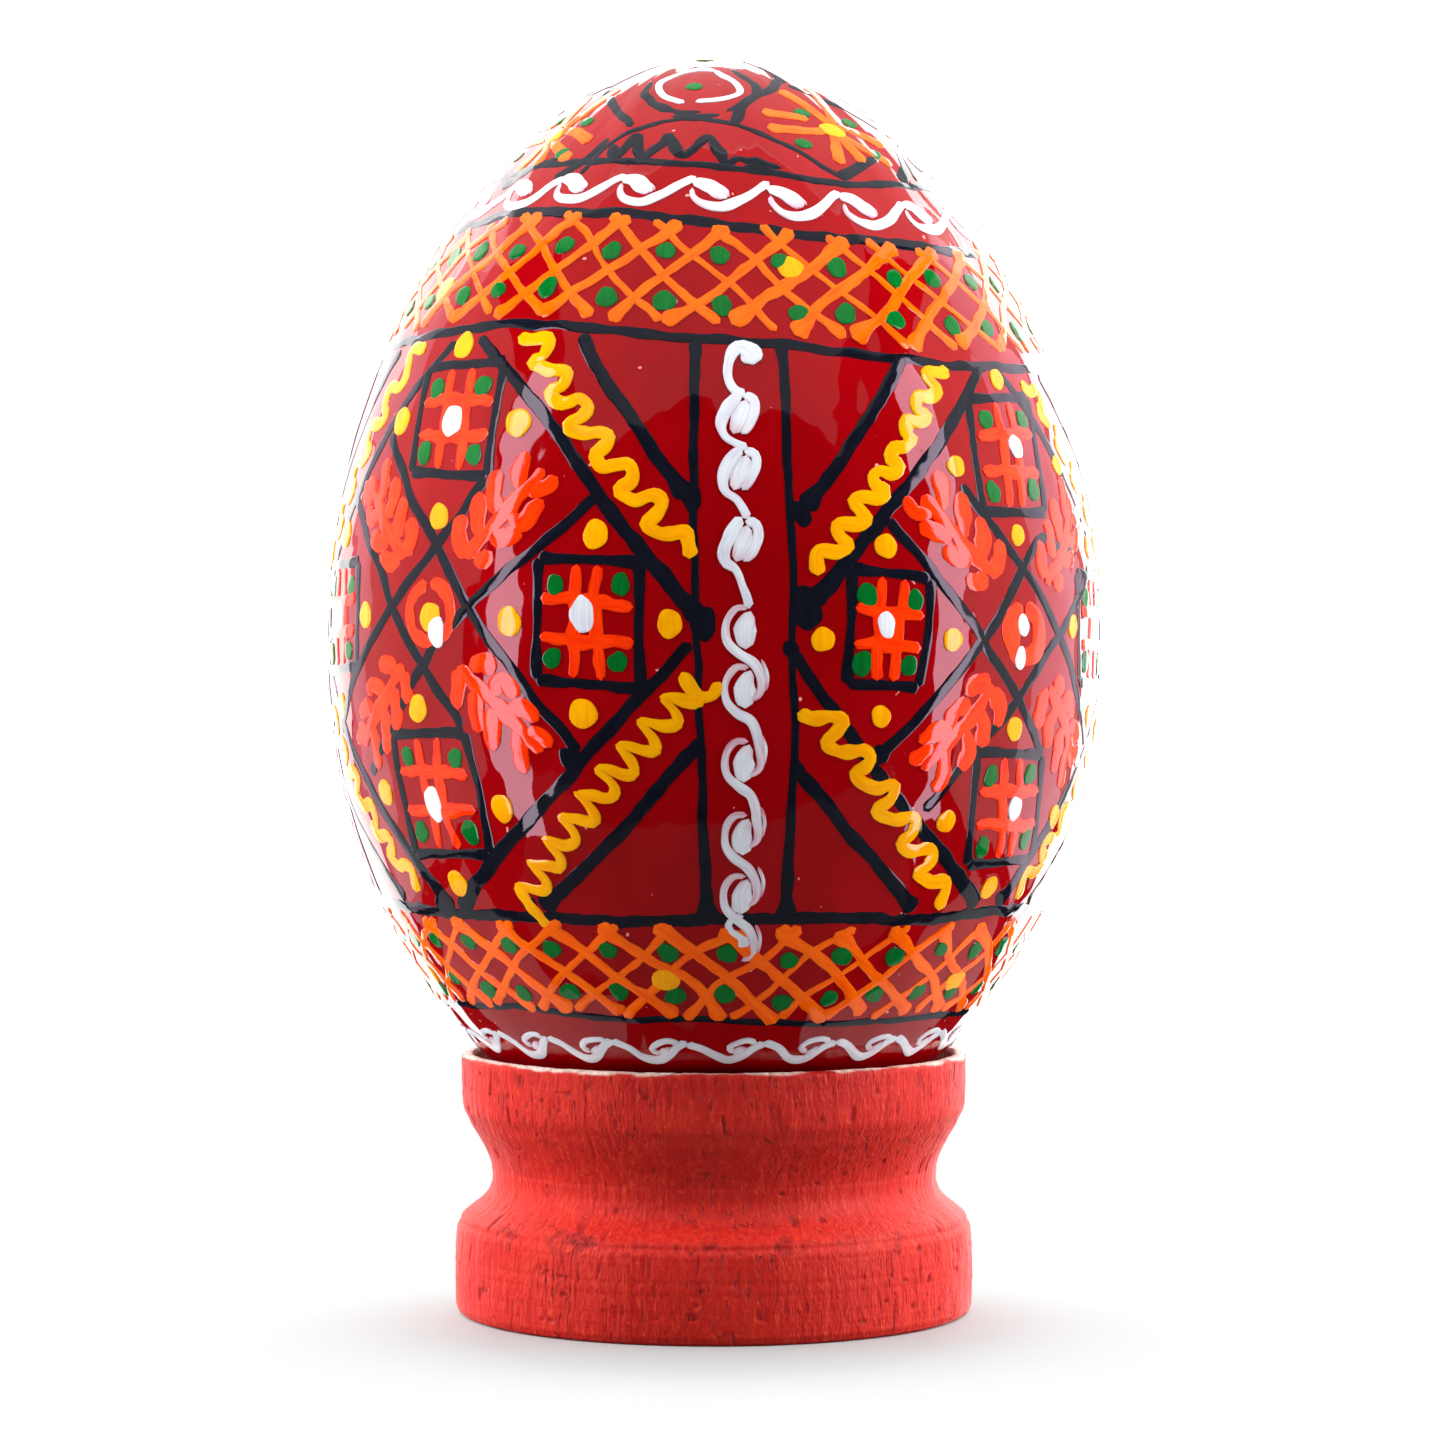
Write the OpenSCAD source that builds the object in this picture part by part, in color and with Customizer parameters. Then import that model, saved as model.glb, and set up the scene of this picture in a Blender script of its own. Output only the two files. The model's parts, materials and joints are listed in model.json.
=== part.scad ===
// Painted wooden egg on a turned ring stand.
// The origin is the centre of the stand's flat base. +Z runs up the egg's axis, and -Y is the front.
// A place on the egg is given as [longitude, height]: 0 degrees is the front, and positive is to the right.

/* [Egg] */
// Widest diameter of the painted egg
egg_w = 60; // [58:0.5:62]
// Length of the egg from pole to pole
egg_len = 85; // [84:0.5:86]
// Height of the egg's lower pole above the table
egg_bottom = 12; // [12:0.1:12.4]
// Thickness of the red ground coat over the wood
ground_t = 0.3; // [0.25:0.05:0.4]
// How far a brush stroke stands proud of the ground coat
relief = 0.22; // [0.15:0.01:0.3]
// How deep a brush stroke keys into the ground coat
keyed = 0.12; // [0.1:0.01:0.14]

/* [Stand] */
// Radius of the stand's base band
base_r = 20.1; // [19.6:0.1:21]
// Radius of the stand's waist
waist_r = 17.25; // [16.8:0.05:17.8]
// Radius of the stand's upper band
band_r = 19.6; // [19.4:0.1:20.2]
// Height of the stand's rim
rim_h = 20.1; // [19.9:0.1:20.4]
// Radius of the hole through the stand
hole_r = 10; // [8:0.5:11]
// Gap between the egg and its seat
seat_gap = 0.12; // [0.1:0.02:0.2]

/* [Pattern] */
// Longitude of the first scroll column
column_lon = 4; // [0:1:10]
// Half the width of a scroll column in degrees
column_half = 6.5; // [6:0.5:7]
// Strokes each way in the upper lattice
upper_strokes = 34; // [30:1:36]
// Strokes each way in the lower lattice
lower_strokes = 36; // [30:1:36]
// Waves in each of the two ring scrolls
ring_waves = 22; // [18:1:24]

/* [Hidden] */

quarter = 90;
panel_lon = column_lon + quarter / 2;
panel_half = quarter / 2 - column_half;
egg_top = egg_bottom + egg_len;
// heights of the black band lines, from the crown down
crown_z = 86.2;
second_z = 82.2;
upper_z = 73.3;
lower_z = 31.8;
bottom_z = 23.8;
panel_z = (upper_z + lower_z) / 2;
panel_v = (upper_z - lower_z) / 2;
// the wave scrolls run between the band lines
upper_scroll_z = (crown_z + second_z) / 2;
lower_scroll_z = 21.8;
// the lattices' lower and upper ends, and how many degrees each stroke leans over
upper_low = upper_z + 1.1;
upper_high = second_z - 0.2;
upper_lean = 23;
lower_low = bottom_z + 0.5;
lower_high = lower_z - 0.9;
lower_lean = 21;
// brush widths
fine_w = 0.55;
line_w = 0.75;
broad_w = 0.95;
// dot diameters
dot_d = 1.5;
big_dot_d = 2;
// where the sides of the large diamond would meet, in degrees and mm from the panel's centre
diamond_u = 41;
diamond_v = 21.8;
// the small diamond where the cross lines meet
small_u = 8.4;
small_v = 4.6;
// place in a panel as [degrees, mm, half width in degrees, half height in mm] of its four squares
squares = [[0, 14.2, 8.3, 4.1], [24.5, 0, 7.6, 4.5], [0, -14.2, 8.3, 4.3], [-24.5, 0, 7.6, 4.5]];
black = [0.04, 0.05, 0.1];
orange = [0.97, 0.43, 0.04];
vermilion = [1, 0.25, 0.02];
yellow = [0.97, 0.73, 0.02];
green = [0.02, 0.42, 0.14];
white = [0.93, 0.94, 0.95];
red = [0.6, 0.02, 0.05];

// radius of the egg's outside at height z
function unit_z(z) = (2 * z - egg_bottom - egg_top) / egg_len;
function egg_r(z) = let (u = unit_z(z)) egg_w / 2 * sqrt(max(0, 1 - u * u)) * (1 - 0.06 * u - 0.05 * u * u);
function slope(z) = (egg_r(z + 0.05) - egg_r(z - 0.05)) / 0.1;
function rise(z) = atan(-slope(z));
// outward normal, and a point that stands h proud of the egg
function normal(p) = [cos(rise(p[1])) * sin(p[0]), -cos(rise(p[1])) * cos(p[0]), sin(rise(p[1]))];
function on_egg(p) = [egg_r(p[1]) * sin(p[0]), -egg_r(p[1]) * cos(p[0]), p[1]];
function unit(v) = v / norm(v);
function mix(a, b, t) = a + (b - a) * t;
// straight run of n steps between two places
function run(a, b, n) = [for (i = [0:n]) mix(a, b, i / n)];
function moved(path, lon, z) = [for (p = path) [p[0] + lon, p[1] + z]];
function flipped(path, su, sv) = [for (p = path) [p[0] * su, p[1] * sv]];
// point on a smooth S curve from radius r0 at height z0 to radius r1 at height z1
function s_curve(r0, r1, z0, z1, t) = [mix(r0, r1, (1 - cos(180 * t)) / 2), mix(z0, z1, t)];

// half outline of the egg, inset by a coat's thickness
function egg_outline(inset) = [for (i = [0:48]) let (
        a = 180 * i / 48,
        z = (egg_bottom + egg_top) / 2 - egg_len / 2 * cos(a),
        e = i == 0 ? -90 : i == 48 ? 90 : rise(z))
    [max(0, egg_r(z) - inset * cos(e)), z - inset * sin(e)]];

// cross-section of a brush stroke at place p, between places a and b: two keyed corners and two on top
function section(a, p, b, foot, h) = let (
        up = normal(p),
        side = unit(cross(up, on_egg(b) - on_egg(a))) * foot,
        low = on_egg(p) - keyed * up,
        high = on_egg(p) + h * up)
    [low - side, low + side, high + side * 0.6, high - side * 0.6];

module stroke_step(from, to) {
    faces = [[0, 1, 2, 3], [7, 6, 5, 4], [0, 4, 5, 1], [1, 5, 6, 2], [2, 6, 7, 3], [3, 7, 4, 0]];
    hull() polyhedron(concat(from, to), faces);
}

// a raised brush stroke along a path of places on the egg, with narrower ends
module stroke(path, w = line_w, h = relief) {
    last = len(path) - 1;
    sections = [for (i = [0:last]) section(path[max(0, i - 1)], path[i], path[min(last, i + 1)],
        w * (i == 0 || i == last ? 0.35 : 0.5), h)];
    for (i = [0:last - 1]) stroke_step(sections[i], sections[i + 1]);
}

// a raised brush stroke that closes on itself
module loop_stroke(path, w = line_w, h = relief) {
    n = len(path);
    sections = [for (i = [0:n - 1]) section(path[(i + n - 1) % n], path[i], path[(i + 1) % n], w / 2, h)];
    for (i = [0:n - 1]) stroke_step(sections[i], sections[(i + 1) % n]);
}

// a round dab of paint
module dot(p, d, h = relief + 0.1) {
    translate(on_egg(p) - keyed * normal(p))
        rotate([0, 90 - rise(p[1]), p[0] - 90])
            cylinder(h = keyed + h, d = d, $fn = 20);
}

module each_quarter() {
    for (k = [0:3]) rotate([0, 0, k * quarter]) children();
}

// places in a panel, measured from its centre
function in_panel(path) = moved(path, panel_lon, panel_z);

module band(z, w, h = relief) {
    c = [egg_r(z), z];
    up = [cos(rise(z)), sin(rise(z))];
    along = [-up[1], up[0]];
    rotate_extrude($fn = 128)
        polygon([c - keyed * up - along * w / 2, c - keyed * up + along * w / 2,
            c + h * up + along * w * 0.35, c + h * up - along * w * 0.35]);
}

module ring_stand() {
    seat_z = egg_bottom + 5.5;
    seat_r = egg_r(seat_z) + seat_gap * sqrt(1 + pow(slope(seat_z), 2));
    lip_z = rim_h - 0.9;
    corner = 0.3;
    base_h = 6;
    waist_h = 10.2;
    neck_h = 10.8;
    shoulder_h = 16;
    steps = 10;
    color([0.78, 0.13, 0.13]) rotate_extrude($fn = 128) polygon(concat(
        [[hole_r, 0], [base_r - corner, 0], [base_r, corner]],
        [for (i = [0:steps]) s_curve(base_r - 0.1, waist_r, base_h, waist_h, i / steps)],
        [for (i = [0:steps]) s_curve(waist_r, band_r, neck_h, shoulder_h, i / steps)],
        [[band_r, rim_h - corner], [band_r - corner, rim_h], [band_r - 0.85, rim_h],
            [seat_r + slope(seat_z) * (lip_z - seat_z), lip_z],
            [hole_r, seat_z + (hole_r - seat_r) / slope(seat_z)]]));
}

module wooden_egg() {
    color([0.85, 0.68, 0.45]) rotate_extrude($fn = 128) polygon(egg_outline(ground_t));
}

module red_ground() {
    outer = egg_outline(0);
    inner = egg_outline(ground_t);
    color(red) rotate_extrude($fn = 128)
        polygon(concat(outer, [for (i = [len(inner) - 1:-1:0]) inner[i]]));
}

module band_lines() {
    color(black) {
        band(crown_z, line_w);
        band(second_z, broad_w);
        band(upper_z, broad_w);
        band(lower_z, line_w);
        band(bottom_z, fine_w);
    }
}

module column_lines() {
    color(black) each_quarter()
        for (side = [-1, 1]) {
            lon = column_lon + side * column_half;
            stroke(run([lon, upper_z + 0.3], [lon, lower_z - 0.3], 12), line_w, relief + 0.02);
        }
}

// the large diamond in each panel, whose points run out at the band and column lines
module diamond_lines() {
    v = panel_v - 0.2;
    u = panel_half - 0.2;
    from = [diamond_u * (1 - v / diamond_v), v];
    to = [u, diamond_v * (1 - u / diamond_u)];
    color(black) each_quarter()
        for (su = [-1, 1], sv = [-1, 1])
            stroke(in_panel(flipped(run(from, to, 7), su, sv)), broad_w, relief + 0.04);
}

// the line that cuts off each corner of a panel
module corner_lines() {
    color(black) each_quarter()
        for (su = [-1, 1], sv = [-1, 1])
            stroke(in_panel(run([su * 20, sv * (panel_v - 0.2)], [su * (panel_half - 0.5), sv * 9.2], 5)),
                broad_w, relief + 0.04);
}

// four lines that cross to leave the small diamond in the middle of a panel
module cross_lines() {
    fall = small_v / small_u;
    t = (1 - small_v / diamond_v) / (1 / diamond_u + fall / diamond_v);
    far = [t - 0.3, small_v + (t - 0.3) * fall];
    near = [far[0] + small_u, -far[0] * fall];
    color(black) each_quarter()
        for (su = [-1, 1], sv = [-1, 1])
            stroke(in_panel(flipped(run([-far[0], far[1]], near, 6), su, sv)), line_w, relief + 0.06);
}

// outlines of the four squares in each panel
module square_lines() {
    around = [[1, 1], [1, 0], [1, -1], [0, -1], [-1, -1], [-1, 0], [-1, 1], [0, 1]];
    color(black) each_quarter()
        for (s = squares)
            loop_stroke(in_panel([for (e = around) [s[0] + e[0] * s[2], s[1] + e[1] * s[3]]]),
                line_w, relief + 0.02);
}

// arches over the crown line, with a row of teeth under each
module crown_lines() {
    arch = [[-31, 0], [-27, 2], [-20, 3.6], [-10, 4.1], [0, 4.2], [10, 4.1], [20, 3.6], [27, 2], [31, 0]];
    teeth = [for (i = [0:8]) [-20 + 5 * i, i % 2 == 0 ? 0.9 : 3.1]];
    color(black) each_quarter() {
        stroke(moved(arch, column_lon - 9, crown_z), fine_w);
        stroke(moved(teeth, column_lon - 9, crown_z), fine_w);
        for (side = [-1, 1])
            stroke(moved(run([side * 9, 4], [side * 34, 8.4], 4), column_lon - 9, crown_z), fine_w);
    }
}

// heights of the rows of whole cells in a lattice whose strokes lean this many degrees
function cell_rows(z0, z1, count, lean) = [for (k = [1, 3]) mix(z0, z1, k * 180 / count / lean)];

// one direction of strokes in a lattice between two heights
module lattice(z0, z1, count, lean, w, h) {
    for (i = [0:count - 1]) {
        lon = 360 * i / count;
        stroke(run([lon, z0], [lon + lean, z1], 3), w, h);
    }
}

module upper_lattice_rising() {
    color(orange) lattice(upper_low, upper_high, upper_strokes, upper_lean, broad_w, relief + 0.05);
}

module upper_lattice_falling() {
    color(orange) lattice(upper_low, upper_high, upper_strokes, -upper_lean, fine_w, relief + 0.03);
}

module lower_lattice_rising() {
    color(orange) lattice(lower_low, lower_high, lower_strokes, lower_lean, fine_w, relief + 0.03);
}

module lower_lattice_falling() {
    color(orange) lattice(lower_low, lower_high, lower_strokes, -lower_lean, broad_w, relief + 0.05);
}

// crossed orange strokes between the arches
module crown_crosses() {
    color(orange) each_quarter()
        for (side = [-1, 1]) {
            stroke(moved(run([-13, 3.6 + side * 0.8], [15, 2.8 + side * 0.8], 3), column_lon + 32, crown_z),
                fine_w, relief + 0.04);
            stroke(moved(run([side * 3.2, 0.9], [side * 5, 6.9], 3), column_lon + 32, crown_z),
                fine_w, relief + 0.07);
        }
}

// two upright strokes inside each square
module grid_uprights() {
    color(vermilion) each_quarter()
        for (s = squares, side = [-1, 1]) {
            lon = s[0] + side * s[2] * 0.24;
            stroke(in_panel(run([lon, s[1] + s[3] - 0.6], [lon, s[1] - s[3] + 0.6], 2)),
                broad_w, relief + 0.03);
        }
}

// two level strokes inside each square
module grid_levels() {
    color(vermilion) each_quarter()
        for (s = squares, side = [-1, 1]) {
            z = s[1] + side * s[3] * 0.3;
            stroke(in_panel(run([s[0] - s[2] + 1.2, z], [s[0] + s[2] - 1.2, z], 2)), broad_w, relief + 0.05);
        }
}

// herringbone leaves along the arms between the squares
module leaf_sprigs() {
    out = [3.2, 1.75];
    roots = [[0.8, -0.2], [-0.4, 0.5]];
    tips = [[4.3, -0.3], [-0.9, 2.7]];
    color(vermilion) each_quarter()
        for (su = [-1, 1], sv = [-1, 1], k = [0:3], leaf = [0, 1]) {
            stem = [6.3, 3.8] + out * k;
            stroke(in_panel(flipped([stem + roots[leaf], stem + tips[leaf]], su, sv)),
                broad_w, relief + 0.03);
        }
}

// a ring in each small diamond
module centre_rings() {
    ring = [for (i = [0:7]) [4 * sin(45 * i), 2.1 * cos(45 * i)]];
    color(vermilion) each_quarter() loop_stroke(in_panel(ring), line_w, relief + 0.03);
}

// wavy lines between the large diamond and the corner lines
module yellow_zigzags() {
    a = [12, panel_v - 1.5];
    b = [panel_half - 1.9, 6.2];
    waves = 6;
    path = [for (i = [0:2 * waves]) let (p = mix(a, b, i / (2 * waves)), s = i % 2 == 0 ? 1 : -1)
        p + s * [1.3, 0.7]];
    color(yellow) each_quarter()
        for (su = [-1, 1], sv = [-1, 1]) stroke(in_panel(flipped(path, su, sv)), broad_w, relief + 0.06);
}

// a running wave all the way round, with a separate curl in each trough
module wave_ring(z, amp, dir) {
    pitch = 360 / ring_waves;
    crest = [[0, -1], [0.22, -0.35], [0.42, 0.85], [0.66, 0.75]];
    curl = [[0.8, 0.85], [1.02, 0.5], [1.06, -0.2], [0.88, -0.1]];
    loop_stroke([for (i = [0:ring_waves - 1], c = crest)
        [(i + c[0]) * pitch * dir, z + amp * c[1]]], line_w, relief + 0.05);
    for (i = [0:ring_waves - 1])
        stroke([for (c = curl) [(i + c[0]) * pitch * dir, z + amp * c[1]]], fine_w, relief + 0.03);
}

module upper_scroll() {
    color(white) wave_ring(upper_scroll_z, 1.15, 1);
}

module lower_scroll() {
    color(white) wave_ring(lower_scroll_z, 1.15, -1);
}

// one winding stroke down each column, with a separate curl in each bend
module column_scrolls() {
    bends = 9;
    top = upper_z - 1;
    pitch = (top - lower_z + 2) / bends;
    curl = [[-0.2, -1.1], [-1.7, -1.7], [-0.9, -2.9]];
    color(white) each_quarter() {
        stroke([for (i = [0:2 * bends]) [column_lon + 2.9 * sin(90 * i - 45), top - i * pitch / 2]],
            line_w, relief + 0.05);
        for (k = [0:bends - 1])
            stroke(moved(flipped(curl, k % 2 == 0 ? 1 : -1, 1), column_lon, top - k * pitch),
                line_w, relief + 0.03);
    }
}

// white outlines round the pole
module crown_diamonds() {
    outline = [[0, -2.1], [14, -0.4], [19, 0.6], [12, 1.7], [0, 2.2], [-12, 1.7], [-19, 0.6], [-14, -0.4]];
    color(white) each_quarter() loop_stroke(moved(outline, column_lon - 9, 93.6), fine_w, relief + 0.05);
}

module dot_ring(z, count, d) {
    for (i = [0:count - 1]) dot([360 * i / count, z], d);
}

module green_dots() {
    color(green) {
        for (z = cell_rows(upper_low, upper_high, upper_strokes, upper_lean))
            dot_ring(z, upper_strokes, dot_d);
        for (z = cell_rows(lower_low, lower_high, lower_strokes, lower_lean))
            dot_ring(z, lower_strokes, dot_d);
        each_quarter() {
            for (s = squares, su = [-1, 1], sv = [-1, 1])
                dot([panel_lon + s[0] + su * s[2] * 0.66, panel_z + s[1] + sv * s[3] * 0.62], dot_d);
            for (su = [-1, 1], sv = [-1, 1])
                dot([column_lon + 32 + su * 9, crown_z + 3.3 + sv * 1.9], dot_d);
            dot([column_lon - 9, 93.7], dot_d);
        }
    }
}

module yellow_dots() {
    beside_squares = [[12.2, 14], [-12.2, 14], [35.2, 0], [13.6, 0], [0, 19.4], [0, 7.2], [24.5, 6.3],
        [24.5, -6.3]];
    color(yellow) {
        dot_ring(upper_z + 5.1, 5, big_dot_d);
        dot_ring(bottom_z + 3.3, 6, big_dot_d);
        each_quarter() {
            for (s = [-1, 1], p = beside_squares)
                dot([panel_lon + s * p[0], panel_z + s * p[1]], big_dot_d);
            dot([panel_lon, panel_z + 0.9], big_dot_d);
            dot([column_lon + 32, crown_z + 3.2], big_dot_d);
        }
    }
}

module white_dots() {
    color(white) each_quarter() {
        for (s = squares) dot([panel_lon + s[0], panel_z + s[1]], big_dot_d, relief + 0.14);
        dot([panel_lon + 0.6, panel_z - 0.9], dot_d, relief + 0.14);
    }
}

ring_stand();
wooden_egg();
red_ground();
band_lines();
column_lines();
diamond_lines();
corner_lines();
cross_lines();
square_lines();
crown_lines();
upper_lattice_rising();
upper_lattice_falling();
lower_lattice_rising();
lower_lattice_falling();
crown_crosses();
grid_uprights();
grid_levels();
leaf_sprigs();
centre_rings();
yellow_zigzags();
upper_scroll();
lower_scroll();
column_scrolls();
crown_diamonds();
green_dots();
yellow_dots();
white_dots();
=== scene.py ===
"""Painted wooden egg on a turned ring stand: the finished surfaces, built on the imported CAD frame.

Places on the egg are (longitude in degrees, height in mm). Longitude 0 faces -Y and grows to the right.
"""
import json
import math

import bpy
import numpy as np
from mathutils import Matrix, Vector

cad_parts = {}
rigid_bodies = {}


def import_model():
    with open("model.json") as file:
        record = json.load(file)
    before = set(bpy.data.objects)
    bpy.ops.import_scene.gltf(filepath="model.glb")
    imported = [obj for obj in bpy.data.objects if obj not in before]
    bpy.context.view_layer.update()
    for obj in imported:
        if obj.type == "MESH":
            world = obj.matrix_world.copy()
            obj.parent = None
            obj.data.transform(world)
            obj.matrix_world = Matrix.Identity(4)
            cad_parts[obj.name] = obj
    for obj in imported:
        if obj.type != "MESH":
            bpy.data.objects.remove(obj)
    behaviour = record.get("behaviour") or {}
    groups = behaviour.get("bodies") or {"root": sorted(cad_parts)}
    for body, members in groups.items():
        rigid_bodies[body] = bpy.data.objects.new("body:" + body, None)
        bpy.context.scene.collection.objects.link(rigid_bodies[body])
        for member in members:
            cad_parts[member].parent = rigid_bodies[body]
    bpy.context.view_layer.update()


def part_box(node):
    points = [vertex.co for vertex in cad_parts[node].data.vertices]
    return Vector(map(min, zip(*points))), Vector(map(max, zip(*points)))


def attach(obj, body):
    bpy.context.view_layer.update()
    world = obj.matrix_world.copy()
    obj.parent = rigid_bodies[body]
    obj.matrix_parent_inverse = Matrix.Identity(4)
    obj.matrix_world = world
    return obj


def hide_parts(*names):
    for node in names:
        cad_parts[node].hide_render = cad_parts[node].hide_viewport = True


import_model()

MM = 0.001
QUARTER = 90
TURN = 2 * math.pi

# ---- the egg's surface, from the frame
egg_low, egg_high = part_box("red_ground")
EGG_BOTTOM, EGG_TOP = egg_low[2] / MM, egg_high[2] / MM
EGG_MID, EGG_HALF = (EGG_BOTTOM + EGG_TOP) / 2, (EGG_TOP - EGG_BOTTOM) / 2
TAPER, BLUNTNESS = 0.06, 0.05  # how the egg narrows towards its top, and towards both ends


def outline(u):
    """The egg's radius at u from -1, its bottom, to 1, its top, as a share of its half width."""
    return np.sqrt(np.clip(1 - u * u, 0, 1)) * (1 - TAPER * u - BLUNTNESS * u * u)


EGG_SCALE = (egg_high[0] - egg_low[0]) / 2 / MM / outline(np.linspace(-1, 1, 4001)).max()


def egg_r(z):
    """The egg's radius at height z, in mm."""
    return EGG_SCALE * outline((z - EGG_MID) / EGG_HALF)


def mm_per_degree(z):
    """How far apart two longitudes a degree apart lie on the egg at height z."""
    return np.radians(1) * egg_r(z)


def rise(z):
    """The angle of the outward normal above the horizontal, in radians."""
    return np.arctan2(egg_r(z - 0.02) - egg_r(z + 0.02), 0.04)


class Waviness:
    """The slow unevenness of a hand-sanded and varnished surface: a sum of waves that close round the egg."""

    def __init__(self, seed):
        rng = np.random.default_rng(seed)
        broad, fine = 46, 34
        self.turns = np.concatenate([rng.integers(0, 34, broad), rng.integers(20, 90, fine)])
        self.rate = np.concatenate([rng.normal(0, 0.55, broad), rng.normal(0, 1.5, fine)])
        self.phase = rng.uniform(0, TURN, broad + fine)
        length = TURN / np.hypot(self.turns / 28, self.rate + 0.05)
        self.size = 0.0017 * np.clip(length, 0, 12) ** 0.9 * rng.uniform(0.3, 1, broad + fine)
        self.size[broad:] *= 0.55

    def at(self, lon, z):
        """Height in mm, and its slope east and up, at places on the egg."""
        lon, z = np.broadcast_arrays(np.radians(lon), z)
        arg = self.turns * lon[..., None] + self.rate * z[..., None] + self.phase
        fade = np.clip(egg_r(z) / 12, 0, 1)
        height = (np.sin(arg) * self.size).sum(-1)
        slopes = np.cos(arg) * self.size
        east = (slopes * self.turns).sum(-1) / np.maximum(egg_r(z), 3)
        up = (slopes * self.rate).sum(-1) * np.cos(rise(z))
        return height * fade, east * fade, up * fade


ripples = Waviness(11)


def on_egg(lon, z, h=0.0):
    """Points h mm proud of the painted egg, in metres, and the varnish's unit normals there."""
    wave, slope_east, slope_up = ripples.at(lon, z)
    a, tilt = np.radians(lon), rise(z)
    out = np.stack([np.cos(tilt) * np.sin(a), -np.cos(tilt) * np.cos(a), np.sin(tilt)], -1)
    east = np.stack([np.cos(a), np.sin(a), np.zeros_like(a)], -1)
    up = np.stack([-np.sin(tilt) * np.sin(a), np.sin(tilt) * np.cos(a), np.cos(tilt)], -1)
    base = np.stack([egg_r(z) * np.sin(a), -egg_r(z) * np.cos(a), z + 0 * a], -1)
    normal = out - slope_east[..., None] * east - slope_up[..., None] * up
    normal /= np.linalg.norm(normal, axis=-1, keepdims=True)
    return (base + (wave + h)[..., None] * out) * MM, normal


# ---- mesh helpers
def new_piece(name, verts, faces, material, body):
    mesh = bpy.data.meshes.new(name)
    mesh.from_pydata(verts, [], faces)
    mesh.update()
    mesh.polygons.foreach_set("use_smooth", [True] * len(mesh.polygons))
    mesh.materials.append(material)
    piece = bpy.data.objects.new(name, mesh)
    bpy.context.scene.collection.objects.link(piece)
    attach(piece, body)
    return piece


def add_attribute(piece, name, kind, values):
    attribute = piece.data.attributes.new(name, kind, "POINT")
    field = "vector" if kind == "FLOAT_VECTOR" else "value"
    attribute.data.foreach_set(field, np.asarray(values, dtype=np.float32).ravel())


def ring_faces(rows, around, closed=False):
    """Quads between rows of points that each close round, and from the last row to the first if closed."""
    return [[r * around + c, r * around + (c + 1) % around,
             (r + 1) % rows * around + (c + 1) % around, (r + 1) % rows * around + c]
            for r in range(rows if closed else rows - 1) for c in range(around)]


def smooth_noise(rng, along, shortest, longest, waves=5):
    """A gentle random line of about unit size along a stroke."""
    lengths = rng.uniform(shortest, longest, waves)
    return sum(np.sin(TURN * along / k + rng.uniform(0, 6.3)) for k in lengths) / math.sqrt(waves)


def spline(points, per_span=10):
    """A Catmull-Rom curve through the points."""
    p = np.asarray(points, dtype=float)
    if len(p) < 3:
        return p[0] + (p[-1] - p[0]) * np.linspace(0, 1, 24)[:, None]
    p = np.vstack([2 * p[0] - p[1], p, 2 * p[-1] - p[-2]])
    t = np.linspace(0, 1, per_span, endpoint=False)[:, None]
    spans = []
    for a, b, c, d in zip(p, p[1:], p[2:], p[3:]):
        spans.append(0.5 * (2 * b + (c - a) * t + (2 * a - 5 * b + 4 * c - d) * t**2
                            + (3 * b - a - 3 * c + d) * t**3))
    return np.vstack(spans + [p[-2:-1]])


# ---- strokes and dabs
STEP = 0.26   # mm between the sections of a stroke
SUNK = -0.05  # the paint's underside, in mm below the ground's surface
ACROSS = np.array([-1, -0.82, -0.45, 0, 0.45, 0.82, 1])
DOME = (1 - ACROSS**2) ** 0.55
SECTION = len(ACROSS) + 2  # points in a section of a stroke, with its two feet
SWOLLEN = 1.1              # mm from a stroke's end that its swelling reaches
FADING = 0.3               # share of a stroke's length that its thin ends take up
VARNISH_LEVEL = 0.82       # how far the varnish evens out the paint's relief
SPOKES = 22                # points round a dab
DAB_RINGS = np.array([0.35, 0.65, 0.86, 1])
DAB_THIN = [0, 0, 0.05, 0.3, 0.3]
DAB_LOBES = [(2, 1), (3, 0.7), (5, 0.5)]
BRISTLE_RANGE = 50  # the bristle pattern of each stroke starts somewhere in this range


def paced(points):
    """Even steps along the curve through places on the egg: distance in mm, longitude and height."""
    path = spline(points)
    scale = mm_per_degree(path[:, 1])
    steps = np.hypot(np.diff(path[:, 0]) * (scale[1:] + scale[:-1]) / 2,
                     np.diff(path[:, 1]) / np.cos(rise((path[1:, 1] + path[:-1, 1]) / 2)))
    along = np.concatenate([[0], np.cumsum(steps)])
    s = np.linspace(0, along[-1], max(6, int(along[-1] / STEP) + 1))
    return s, np.interp(s, along, path[:, 0]), np.interp(s, along, path[:, 1])


def half_width(s, width, swell, belly):
    """Half a stroke's width along it, with its swelling and its round ends."""
    to_end = s[-1] - s
    ends = 1 + swell[0] * np.exp(-(s / SWOLLEN) ** 2) + swell[1] * np.exp(-(to_end / SWOLLEN) ** 2)
    body = width / 2 * ends * np.interp(s / s[-1], np.linspace(0, 1, len(belly)), belly)
    cap = np.clip(np.minimum(s, to_end) / body, 0, 1)
    return body * (np.sqrt(1 - (1 - cap) ** 2) * 0.97 + 0.03)


def thinness(s, thin):
    """How thin the paint is over a stroke's sections: at its ends by thin, and along its edges."""
    fading = FADING * s[-1]
    fade = thin[0] * np.exp(-(s / fading) ** 2) + thin[1] * np.exp(-((s[-1] - s) / fading) ** 2)
    edge = np.pad(0.25 * np.abs(ACROSS) ** 6, (0, 2))
    return np.clip(fade[:, None] + edge, 0, 1)


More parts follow.
